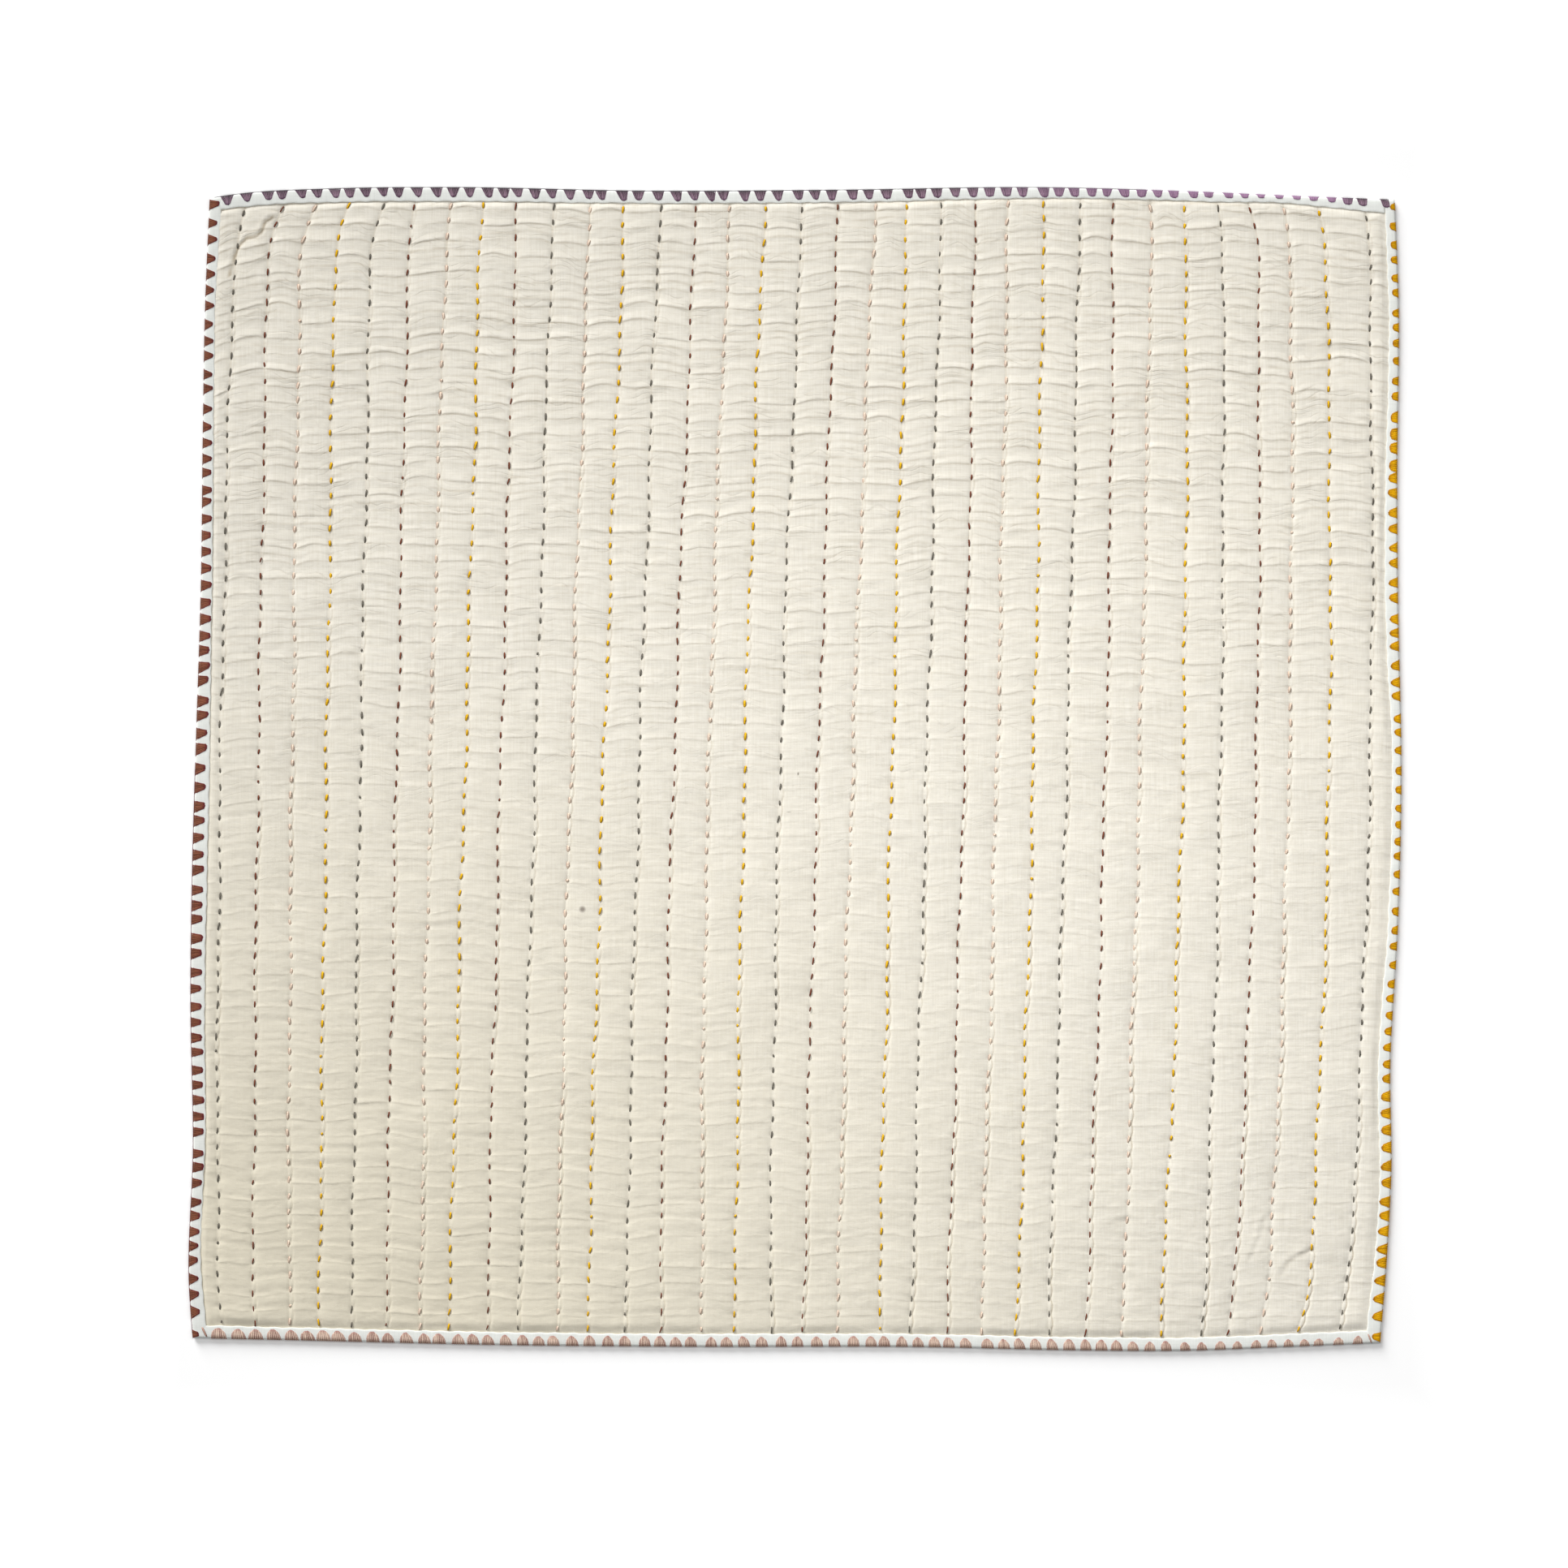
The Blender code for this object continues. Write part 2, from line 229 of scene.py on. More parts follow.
CROWN_HEIGHT = 4.5
VALLEY_HEIGHT = 3.8
GROOVE_WIDTH = 2.8
DENT_DEPTH = 0.3
DENT_WIDTH = 0.7
STITCH_HOLLOW = 0.6
HOLLOW_WIDTH = 2.2
STITCHES = 71
STITCH_PHASE = 0.2
TOP_SHARE = 0.45
CREASE_DEPTH = 0.62
PILLOW_RISE = 0.5
# painted shade along each row of stitches, and its width
SEAM_SHADE = 0.5
SEAM_SHADE_WIDTH = 0.6
CREASE_PHASES = (-0.2, -0.09, -0.035, 0.015, 0.07, 0.16, 0.34, 0.47, 0.6)
CREASE_ARCH = 3.0
FAR_OFF = 99.0
FOLD_DISTANCE = 0.75
FOLD_SWING = 0.6
FOLD_WIDTH = 0.55
LINE_DISTANCE = 1.45
LINE_SWING = 1.2
LINE_WIDTH = 0.5
LINE_DEPTH = 0.8
FOLD_RISE = 0.68
CHANNEL_SHARES = (0.36, 0.52, 0.7)
CREASED_CHANNEL_SHARES = (0.25, 0.32, 0.39, 0.46, 0.53, 0.6, 0.67, 0.74, 0.81)
CREASED_CHANNELS = (1, 30, 31, 32)
PANEL_JOINS = (11, 22)
# start in stitches, least strength, swell and strongest of the creases at and between the stitches
CREASE_SETS = ((0.0, 0.55, 0.38, 1.0), (0.47, 0.22, 0.6, 0.8))
# points across and up the blanket, depth, width, how dark the painted shade along it is
MAIN_CREASES = (
    (
        (
            (-435.5, 380.0), (-433.0, 392.0), (-429.0, 402.0), (-423.0, 408.5), (-415.0, 410.5),
            (-411.0, 414.0), (-408.5, 421.0), (-402.0, 425.5),
        ),
        0.8, 1.1, 0.9,
    ),
    (((372.5, -388.5), (378.0, -379.0), (387.5, -373.0), (396.0, -369.7)), 0.4, 1.5, 0.1),
    (((349.0, -376.0), (357.0, -358.5), (360.0, -345.0)), 0.3, 1.8, 0.0),
    (((239.0, -352.0), (246.0, -347.0), (256.0, -346.0)), 0.3, 2.0, 0.0),
)


def bell(distance, width):
    """1 at no distance, and less by the exponential of the squared share of the width."""
    return np.exp(-((distance / width) ** 2))


def smooth_step(t):
    """Rise from 0 to 1 that is level at both ends."""
    return t * t * (3 - 2 * t)


def smooth_curve(place, offset, at):
    """Cubic curve through the offsets at the given places, with the mean slope at each one."""
    order = np.argsort(place)
    place = place[order]
    offset = offset[order]
    slope = np.gradient(offset, place)
    at = np.clip(at, place[0], place[-1])
    index = np.clip(np.searchsorted(place, at) - 1, 0, len(place) - 2)
    step = place[index + 1] - place[index]
    t = (at - place[index]) / step
    start = offset[index] * (1 + 2 * t) * (1 - t) ** 2
    end = offset[index + 1] * t * t * (3 - 2 * t)
    turn = step * t * (1 - t) * (slope[index] * (1 - t) - slope[index + 1] * t)
    return start + end + turn


def outermost(side, pick):
    """Outermost place of an edge's curve, as np.min or np.max picks it."""
    along, offset = np.array(EDGE_ROWS[side]).T
    return pick(smooth_curve(along, offset, np.linspace(along.min(), along.max(), 200)))


MIDDLE_X = 0.5 * (outermost("left", np.min) + outermost("right", np.max))
MIDDLE_Y = 0.5 * (outermost("bottom", np.min) + outermost("top", np.max))


def edge(side, at):
    """Place of an edge at places along it, both from the middle of the outline's box."""
    along, offset = np.array(EDGE_ROWS[side]).T
    if side in ("left", "right"):
        return smooth_curve(along, offset, at + MIDDLE_Y) - MIDDLE_X
    return smooth_curve(along, offset, at + MIDDLE_X) - MIDDLE_Y


def tape_width(side, at):
    """How wide the tape shows at places along a side."""
    along, width = np.array(TAPE_WIDTHS[side]).T
    return smooth_curve(along, width, at)


def ripple(a, b):
    """Slow unevenness from -1 to 1: three crossed sines whose lengths don't divide each other."""
    first = np.sin(1.7 * a + 0.9 * b)
    second = np.sin(0.61 * a - 1.31 * b + 1.9)
    third = 0.8 * np.sin(2.3 * a + 2.9 * b + 4.2)
    return (first + second + third) / 2.8


def row_x(number, y):
    """Place across the blanket of row of stitches 1 to 33, or of the panel's sides, 0 and 34.

    A row is a parabola through its three readings. Its ends are hooked by a square law, and two
    sines of the row's own make it wander.
    """
    high, middle, low = np.array(STITCH_HEIGHTS) - MIDDLE_Y
    readings = np.array([row[1:] for row in STITCH_ROWS])[np.clip(number - 1, 0, ROWS - 1)] - MIDDLE_X
    x_high, x_middle, x_low = np.moveaxis(readings, -1, 0)
    x = (
        x_high * (y - middle) * (y - low) / ((high - middle) * (high - low))
        + x_middle * (y - high) * (y - low) / ((middle - high) * (middle - low))
        + x_low * (y - high) * (y - middle) / ((low - high) * (low - middle))
    )
    for end, middle_row, spread, hook, length in HOOKS:
        from_end = np.abs(edge(end, x_middle) - y)
        reach = np.clip(1 - from_end / length, 0, 1)
        x = x + hook * bell(number - middle_row, spread) * reach**2
    wander = 0.8 * np.sin(y / 13.0 + 2.4 * number) + np.sin(y / 37.0 + 4.1 * number)
    x = x + ROW_WANDER * wander
    x = np.where(number == 0, edge("left", y) + SEAM_INSET, x)
    return np.where(number == ROWS + 1, edge("right", y) - SEAM_INSET, x)


def stitch_y(number, place, x):
    """Height up the blanket of stitch `place` of a row: even steps, plus slow sines of its own.

    At the panel's two sides, where there is no row, the heights droop toward the top.
    """
    low = edge("bottom", x) + tape_width("bottom", x) + 1.0
    high = edge("top", x) - TOP_SHARE * tape_width("top", x)
    fade = np.clip(np.minimum(place, STITCHES - place) / 1.5, 0, 1)
    drift = 1.3 * np.sin(place / 6.0 + 5.1 * number) + 1.1 * np.sin(place / 17.0 + 2.3 * number)
    drift = drift + 0.5 * np.sin(1.7 * place + 3.3 * number)
    droop = np.where(number == ROWS + 1, -6.0, 0.0) + np.where(number == 0, -3.0, 0.0)
    droop = droop * np.clip(place / STITCHES, 0, 1) ** 2
    return low + place / STITCHES * (high - low) + fade * (drift + droop)


def stitch_gap(place):
    """0 at the middle of each stitch and 1 halfway between two: a squared sine."""
    return np.sin(np.pi * (place - STITCH_PHASE)) ** 2


def panel_point(number, share, offset, swing, place):
    """Plan place of a point of the panel, and how far it is from the rows on both sides.

    The share goes from 0 at row `number` to 1 at the next, and the offset is in mm. A swing moves
    the point away between stitches. The height blends from one row's stitch heights to the
    next's by a smooth step, so that a crease joins stitch to stitch, and arches between them.
    """
    x = FIRST_ROW_X + ROW_SPACING * (number + share)
    y = stitch_y(number, place, x)
    moved = offset + swing * stitch_gap(place)
    arch = CREASE_ARCH * (0.35 + 0.9 * ripple(1.9 * number, 0.55 * place))
    for _ in range(4):
        left = row_x(number, y)
        width = row_x(number + 1, y) - left
        x = left + share * width + moved
        t = np.clip((x - left) / width, 0, 1)
        blend = smooth_step(t)
        upper = np.clip(0.5 + y / 500.0, 0, 1)
        y = (1 - blend) * stitch_y(number, place, x) + blend * stitch_y(number + 1, place, x)
        y = y + arch * upper * 4 * t * (1 - t)
    return x, y, x - left, left + width - x


def binding_rise(x, y):
    """0 under the binding and 1 from a few millimetres inside it, with a smooth step between."""
    inside = (
        (x - edge("left", y) - tape_width("left", y)) / 3.0,
        (edge("right", y) - x - tape_width("right", y)) / 6.0,
        (y - edge("bottom", x) - tape_width("bottom", x)) / 7.0,
        (edge("top", x) - y - tape_width("top", x)) / 3.0,
    )
    return smooth_step(np.clip(np.minimum.reduce(inside) + 0.06, 0, 1))


def main_creases(x, y):
    """Height of the listed creases, a trough along each and a ridge above it, and painted shade along
    the trough.
    """
    height = np.zeros_like(x)
    shade = np.zeros_like(x)
    for points, deep, wide, dark in MAIN_CREASES:
        points = np.array(points) - (MIDDLE_X, MIDDLE_Y)
        nearest = np.full_like(x, 1000.0)
        signed = np.full_like(x, 1000.0)
        for (ax, ay), (bx, by) in zip(points[:-1], points[1:]):
            length = np.hypot(bx - ax, by - ay)
            t = np.clip(((x - ax) * (bx - ax) + (y - ay) * (by - ay)) / length**2, 0, 1)
            gap = np.hypot(x - ax - t * (bx - ax), y - ay - t * (by - ay))
            above = np.sign((bx - ax) * (y - ay) - (by - ay) * (x - ax))
            signed = np.where(gap < nearest, gap * above, signed)
            nearest = np.minimum(nearest, gap)
        height = height - deep * bell(signed, wide) + 0.6 * deep * bell(signed - 1.9 * wide, 1.3 * wide)
        # painted shade along the trough
        shade = shade + dark * bell(signed, 0.8 * wide)
    return height, shade


def row_fold(number, y):
    """How strongly the right side of a row is folded: slow unevenness, more toward the foot."""
    lower = np.clip(0.45 - y / 900.0, 0, 1)
    fold = np.clip(0.5 + 0.8 * ripple(2.7 * number, y / 60.0), 0.06, 1.0)
    return fold * (0.35 + 0.65 * lower)


def row_relief(number, gap, place, y):
    """Height beside a row of stitches, at a signed gap from it in mm.

    There is a groove that reaches twice as far on the left, a hollow at each stitch and, to the
    right, a narrow fold with a fine line beyond it. These two swing away between stitches.
    """
    depth = (CROWN_HEIGHT - VALLEY_HEIGHT) * (1 + 0.45 * ripple(3.1 * number, y / 45.0))
    reach = np.where(gap < 0, 2.0 * GROOVE_WIDTH, GROOVE_WIDTH)
    groove = -depth * np.exp(-((np.abs(gap) / reach) ** 1.3))
    dent = -DENT_DEPTH * bell(gap, DENT_WIDTH)
    between = stitch_gap(place)
    hollow = -STITCH_HOLLOW * (1 - between) ** 3 * bell(gap, HOLLOW_WIDTH)
    strength = FOLD_RISE * row_fold(number, y)
    fold = strength * bell(gap - FOLD_DISTANCE - FOLD_SWING * between, FOLD_WIDTH)
    line = bell(gap - LINE_DISTANCE - LINE_SWING * between, LINE_WIDTH)
    relief = groove + dent + hollow + fold - LINE_DEPTH * strength * line
    return np.where((number == 0) | (number == ROWS + 1), 0.0, relief)


def from_rows(number, from_left, from_right):
    """Distance from the nearest row of stitches. The panel's own sides count as far off."""
    left = np.where(number == 0, FAR_OFF, from_left)
    return np.minimum(left, np.where(number == ROWS, FAR_OFF, from_right))


def foot_corner(x, y):
    """1 at the lower left corner, where the cloth is creased again, and 0 in the upper third."""
    return np.clip(0.3 - y / 550.0, 0, 1) * np.clip(0.5 - x / 500.0, 0.3, 1)


def crosswise_creases(number, share, place, x, y):
    """Height of the creases across the channels, at each whole number of stitches, and how sharply
    a point lies in one, which sets its painted shade.

    Going up the blanket, the cloth rises gently to a crease, steps up over a millimetre and falls
    slowly away again. Weaker creases lie halfway between, in some channels only. Toward the foot
    the steps fade and a narrow ridge is left.
    """
    across = number + share
    upper = np.clip((y + 40.0) / 330.0, 0, 1)
    height = np.zeros_like(place)
    sharp = np.zeros_like(place)
    for start, least, swell, strongest in CREASE_SETS:
        crease = np.round(place - start)
        wiggle = 0.05 * ripple(5.0 * across + 3.3 * crease, 0.9 * crease)
        phase = place - start - crease + wiggle
        strength = least + swell * ripple(0.42 * across + 2.1 * crease + 9.0 * start, 1.7 * crease)
        strength = strength + 0.35 * ripple(7.7 * number + 1.3 * crease, 2.9 * crease + 5.0 * start)
        strength = strength + 0.25 * ripple(6.0 * across + 0.7 * crease, 1.1 * crease)
        strength = np.clip(strength, 0.0, strongest)
        strength = strength * (0.22 + 0.86 * upper + 0.4 * foot_corner(x, y))
        step = 0.5 + 0.5 * np.tanh((phase - 0.005) / 0.028)
        above = bell(np.maximum(phase - 0.06, 0), 0.24)
        below = 0.4 * bell(np.minimum(phase, 0), 0.2)
        ridge = 0.24 * (1 - upper) * strength * bell(phase - 0.03, 0.06)
        height = height + strength * (step * above + (1 - step) * below - 0.3) + ridge
        # how sharply a point lies in a crease's step, for painted shade
        sharp = sharp + strength * bell(phase + 0.015, 0.045)
    return CREASE_DEPTH * height, sharp


def face_relief(number, share, place, x, y, from_left, from_right):
    """Height of the quilt's face, and how strongly painted shade darkens a point's colour, from 0 to 1.

    The height is a crown with slow unevenness, the relief of the rows on both sides, the creases,
    and pillows between stitches at one corner. Shade is painted on the sharp creases, and on lines
    beside and along the rows of stitches.
    """
    across = number + share
    uneven = 0.45 * ripple(0.9 * across, y / 47.0) + 0.35 * ripple(1.3 * across, y / 19.0)
    rows = row_relief(number, from_left, place, y)
    rows = rows + row_relief(number + 1, -from_right, place, y)
    near = from_rows(number, from_left, from_right)
    calm = 1 - 0.5 * bell(near, 1.6)
    creases, sharp = crosswise_creases(number, share, place, x, y)
    patchy = np.clip(0.35 + 0.95 * ripple(1.7 * number, 0.8 * place), 0, 1)
    pillow = PILLOW_RISE * foot_corner(x, y) * patchy
    pillow = pillow * (stitch_gap(place + 0.07 * ripple(4.0 * across, place)) ** 0.35 - 0.6)
    main, dark = main_creases(x, y)
    z = CROWN_HEIGHT + uneven + rows + creases * calm + pillow + main
    # painted shade: a line right of each row's fold, a line along each row, and the sharp creases
    line = bell(from_left - LINE_DISTANCE - LINE_SWING * stitch_gap(place), 0.45)
    beside = np.where(number == 0, 0.0, row_fold(number, y) * line)
    seam = SEAM_SHADE * np.clip(0.2 + y / 600.0, 0, 0.8) * bell(near, SEAM_SHADE_WIDTH)
    shade = np.clip(0.6 * sharp * calm + 0.9 * beside + seam + 1.4 * dark, 0, 1)
    return SEAM_TOP + (z - SEAM_TOP) * binding_rise(x, y), shade


def point_rows(*parts):
    """A row for each point, from arrays of one coordinate each that are broadcast together."""
    return np.stack(np.broadcast_arrays(*parts), axis=-1).reshape(-1, len(parts))


def grid_faces(rows, columns):
    """Corner numbers of a grid's quads, anticlockwise where rows go up and columns to the right."""
    corner = np.arange(rows * columns).reshape(rows, columns)[:-1, :-1].ravel()
    return np.stack([corner, corner + 1, corner + columns + 1, corner + columns], axis=1)


def new_piece(name, points, faces, material, uv_layers=()):
    """Shown piece made of quads, riding on the blanket, with a place for each point in mm."""
    mesh = bpy.data.meshes.new(name)
    mesh.vertices.add(len(points))
    mesh.vertices.foreach_set("co", (points * MM).astype(np.float32).ravel())
    mesh.loops.add(faces.size)
    mesh.loops.foreach_set("vertex_index", faces.astype(np.int32).ravel())
    mesh.polygons.add(len(faces))
    mesh.polygons.foreach_set("loop_start", np.arange(0, faces.size, 4, dtype=np.int32))
    mesh.update(calc_edges=True)
    for layer_name, uv in uv_layers:
        layer = mesh.uv_layers.new(name=layer_name)
        layer.uv.foreach_set("vector", uv[faces.ravel()].astype(np.float32).ravel())
    mesh.shade_smooth()
    mesh.materials.append(material)
    piece = new_object(name, mesh)
    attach(piece, "root")
    return piece


def srgb(red, green, blue):
    """Linear colour of an sRGB colour on the scale of 0 to 255."""
    value = np.array([red, green, blue]) / 255.0
    linear = np.where(value <= 0.04045, value / 12.92, ((value + 0.055) / 1.055) ** 2.4)
    return (*linear.tolist(), 1.0)


def mix_colours(tree, factor, first, second):
    """Output of a colour mix from the first colour to the second."""
    node = add_node(tree, "ShaderNodeMix", {0: factor, 6: first, 7: second}, data_type="RGBA")
    return node.outputs[2]


def vector_maths(tree, operation, first, second, third=(0.0, 0.0, 0.0)):
    """Output of a Vector Math node."""
    values = {0: first, 1: second, 2: third}
    return add_node(tree, "ShaderNodeVectorMath", values, operation=operation).outputs[0]


def weighted_sum(tree, start, *terms):
    """Output that is the start plus each term's first value times its second."""
    for value, weight in terms:
        start = arithmetic(tree, "MULTIPLY_ADD", value, weight, start)
    return start


def stretched_noise(tree, vector, stretch, detail):
    """Noise on a vector multiplied by a stretch."""
    drawn = vector_maths(tree, "MULTIPLY", vector, stretch)
    noise = add_node(tree, "ShaderNodeTexNoise", {"Vector": drawn, "Scale": 1.0, "Detail": detail})
    return noise.outputs["Fac"]


def new_group(name, inputs, outputs):
    """Empty shader group. An input with the default None is a vector, and all else is a number."""
    group = bpy.data.node_groups.new(name, "ShaderNodeTree")
    for socket_name, default in inputs.items():
        kind = "NodeSocketVector" if default is None else "NodeSocketFloat"
        socket = group.interface.new_socket(socket_name, in_out="INPUT", socket_type=kind)
        if default is not None:
            socket.default_value = default
    for socket_name in outputs:
        group.interface.new_socket(socket_name, in_out="OUTPUT", socket_type="NodeSocketFloat")
    entry = group.nodes.new("NodeGroupInput")
    exit_node = group.nodes.new("NodeGroupOutput")
    return group, entry, exit_node


def build_weave_group():
    """Plain weave in the XY plane: two crossed sets of threads that waver, with uneven threads.

    Height is the higher of two sines, one across and one up, so small holes stay between threads.
    Shade is a mean of noise drawn out along each set of threads.
    """
    group, entry, exit_node = new_group(
        "plain_weave", {"Vector": None, "Pitch": 0.0006, "Slub Length": 0.03}, ("Height", "Shade")
    )
    vector, pitch, slub_length = entry.outputs[:3]
    waver = add_node(group, "ShaderNodeTexNoise", {"Vector": vector, "Scale": 90.0, "Detail": 2.0})
    moved = vector_maths(group, "MULTIPLY_ADD", waver.outputs["Color"], (0.0012, 0.0012, 0.0), vector)
    parts = separate(group, moved)
    turns = arithmetic(group, "DIVIDE", 2 * np.pi, pitch)
    across = arithmetic(group, "SINE", arithmetic(group, "MULTIPLY", parts["X"], turns))
    up = arithmetic(group, "SINE", arithmetic(group, "MULTIPLY", parts["Y"], turns))
    fine = arithmetic(group, "DIVIDE", 0.7, pitch)
    coarse = arithmetic(group, "DIVIDE", 1.0, slub_length)
    shades = []
    for fine_axis, coarse_axis in (("X", "Y"), ("Y", "X")):
        stretch = add_node(group, "ShaderNodeCombineXYZ", {fine_axis: fine, coarse_axis: coarse})
        shades.append(stretched_noise(group, moved, stretch.outputs[0], 3.0))
    mean = arithmetic(group, "MULTIPLY", arithmetic(group, "ADD", *shades), 0.5)
    set_inputs(group, exit_node, {"Height": arithmetic(group, "MAXIMUM", across, up), "Shade": mean})
    return group


weave_group = build_weave_group()


def cloth_material(name, colour, dark_colour, pitch, weave_depth, wrinkle_depth):
    """Matt cotton cloth: its threads in bump and shade, and small wrinkles both ways in bump."""
    material, tree, shader = new_material(
        name, {"Roughness": 0.92, "Specular IOR Level": 0.15, "Sheen Weight": 0.08, "Sheen Roughness": 0.6}
    )
    place = add_node(tree, "ShaderNodeTexCoord").outputs["Object"]
    weave = add_node(tree, "ShaderNodeGroup", {"Vector": place, "Pitch": pitch}, node_tree=weave_group)
    shade = map_range(tree, weave.outputs["Shade"], 0.33, 0.62)
    mixed = mix_colours(tree, shade, dark_colour, colour)
    stretches = ((60.0, 210.0, 60.0), (260.0, 45.0, 60.0), (55.0, 70.0, 60.0))
    wrinkles = [stretched_noise(tree, place, stretch, 2.0) for stretch in stretches]
    wrinkled = weighted_sum(tree, wrinkles[0], (wrinkles[1], 0.6), (wrinkles[2], 3.0))
    coarse_bump = add_node(tree, "ShaderNodeBump", {"Height": wrinkled, "Distance": wrinkle_depth})
    woven = {"Height": weave.outputs["Height"], "Distance": weave_depth, "Strength": 0.7}
    fine_bump = add_node(tree, "ShaderNodeBump", {**woven, "Normal": coarse_bump.outputs[0]})
    set_inputs(tree, shader, {"Base Color": mixed, "Normal": fine_bump.outputs[0]})
    return material, mixed, place, coarse_bump


def build_crinkle_group():
    """Fine wavy creases across the channels, on UV where U counts channels and V stitches.

    V times the number of lines, bent by noise, is ping-ponged, and a line lies where that is near
    0. Patches of a second noise fade the lines in and out. Slope is the saw-tooth between lines.
    """
    group, entry, exit_node = new_group(
        "crosswise_crinkle", {"Vector": None, "Lines": 2.6}, ("Line", "Slope")
    )
    vector, line_count = entry.outputs[:2]
    bend = stretched_noise(group, vector, (1.2, 0.5, 1.0), 1.0)
    patches = stretched_noise(group, vector, (0.9, 1.2, 1.0), 1.0)
    count = arithmetic(group, "MULTIPLY", separate(group, vector)["Y"], line_count)
    bent = weighted_sum(group, count, (bend, 4.0))
    line = map_range(group, arithmetic(group, "PINGPONG", bent, 0.5), 0.0, 0.2, 1.0, 0.0)
    patch = map_range(group, patches, 0.46, 0.66)
    slope = arithmetic(group, "MULTIPLY", arithmetic(group, "FRACT", bent), patch)
    set_inputs(group, exit_node, {"Line": arithmetic(group, "MULTIPLY", line, patch), "Slope": slope})
    return group


gauze, gauze_colour, gauze_place, gauze_bump = cloth_material(
    "cream_gauze", srgb(233, 228, 216), srgb(221, 215, 200), 0.0007, 0.00006, 0.00025
)
# warm colour of the painted shade in sharp creases and along the rows of stitches
CREASE_SHADE_COLOUR = srgb(172, 152, 118)

# Fine creases between the modelled ones, fading toward the foot, and warm painted shade in the sharp
# creases and along the fine ones
gauze_tree = gauze.node_tree
gauze_uv = add_node(gauze_tree, "ShaderNodeUVMap", uv_map="UVMap").outputs[0]
crinkle = add_node(
    gauze_tree, "ShaderNodeGroup", {"Vector": gauze_uv}, node_tree=build_crinkle_group()
)
upper_part = map_range(gauze_tree, separate(gauze_tree, gauze_place)["Y"], -0.2, 0.25, 0.25)
fine_line = arithmetic(gauze_tree, "MULTIPLY", crinkle.outputs["Line"], upper_part)
fine_slope = arithmetic(gauze_tree, "MULTIPLY", crinkle.outputs["Slope"], upper_part)
fine_height = weighted_sum(gauze_tree, fine_slope, (fine_line, -0.5))
fine_relief = add_node(gauze_tree, "ShaderNodeBump", {"Height": fine_height, "Distance": 0.0002})
set_inputs(gauze_tree, gauze_bump, {"Normal": fine_relief.outputs[0]})
# painted shade: the crease_shade attribute and the fine crease lines mix the shade colour into the gauze
crease_shade = add_node(gauze_tree, "ShaderNodeAttribute", attribute_name="crease_shade")
shaded = arithmetic(gauze_tree, "MULTIPLY", crease_shade.outputs["Fac"], 0.6)
shaded = weighted_sum(gauze_tree, shaded, (fine_line, 0.12))
gauze_colour = mix_colours(gauze_tree, shaded, gauze_colour, CREASE_SHADE_COLOUR)

# middle across and up, half width, half height, how strong, colour
SPECKS_AND_PAINTED_SHADE = (
    # painted shade: a broad oval, darker and yellower toward the lower left, where less light falls
    (-520.0, -560.0, 760.0, 560.0, 0.9, srgb(219, 211, 190)),
    (-163.5, -107.8, 2.6, 2.6, 0.9, srgb(140, 130, 120)), (2.4, -3.6, 0.7, 1.3, 1.0, srgb(140, 132, 120)),
    (-4.7, -33.1, 1.9, 0.6, 0.5, srgb(150, 140, 128)),
)


def build_oval_mask_group():
    """Soft oval spot: its strength within 0.4 of its half sizes, and less up to 1.2 of them."""
    group, entry, exit_node = new_group(
        "soft_oval_mask", {"Vector": None, "Place": None, "Half Size": None, "Strength": 1.0}, ("Mask",)
    )
    vector, place, half_size, strength = entry.outputs[:4]
    scaled = vector_maths(group, "DIVIDE", vector_maths(group, "SUBTRACT", vector, place), half_size)
    distance = add_node(group, "ShaderNodeVectorMath", {0: scaled}, operation="LENGTH")
    mask = map_range(group, distance.outputs["Value"], 0.4, 1.2, strength, 0.0)
    set_inputs(group, exit_node, {"Mask": mask})
    return group


# Soft ovals in the gauze colour: painted shade that makes it a little darker and yellower toward
# the lower left, and a few grey specks
oval_mask_group = build_oval_mask_group()
for oval_x, oval_y, half_width, half_height, oval_strength, stain_and_shade_colour in SPECKS_AND_PAINTED_SHADE:
    oval_values = {
        "Vector": gauze_place, "Place": (oval_x * MM, oval_y * MM, 0.0),
        "Half Size": (half_width * MM, half_height * MM, 1.0), "Strength": oval_strength,
    }
    oval_mask = add_node(gauze_tree, "ShaderNodeGroup", oval_values, node_tree=oval_mask_group)
    gauze_colour = mix_colours(gauze_tree, oval_mask.outputs["Mask"], gauze_colour, stain_and_shade_colour)
set_inputs(gauze_tree, gauze_tree.nodes["Principled BSDF"], {"Base Color": gauze_colour})


def panel_columns():
    """Channel number, share across it, offset and swing of each column of the panel's grid."""
    beside = [
        (0, 0, 0), (0, FOLD_DISTANCE, FOLD_SWING), (0, LINE_DISTANCE, LINE_SWING),
        (0, LINE_DISTANCE + 0.9, LINE_SWING), (0, 4.6, 0.5),
    ]
    columns = [(0, share, 0, 0) for share in (0, 0.36, 0.44, 0.54, 0.66, 0.8)] + [(0, 1, -1.4, 0)]
    for number in range(1, ROWS):
        shares = CREASED_CHANNEL_SHARES if number in CREASED_CHANNELS else CHANNEL_SHARES
        columns += [(number, *item) for item in beside]
        columns += [(number, share, 0, 0) for share in shares]
        columns += [(number, 1, -3.0, 0), (number, 1, -1.4, 0)]
    columns += [(ROWS, *item) for item in beside]
    columns += [(ROWS, share, 0, 0) for share in (0.42, 0.55, 0.66, 1)]
    return np.array(columns, dtype=float).T


def panel_places():
    """Height of each row of the panel's grid, counted in stitches from the bottom binding."""
    steps = [stitch + phase for stitch in range(STITCHES) for phase in CREASE_PHASES]
    return np.array([-0.55, *steps, STITCHES - 0.28, STITCHES - 0.1])


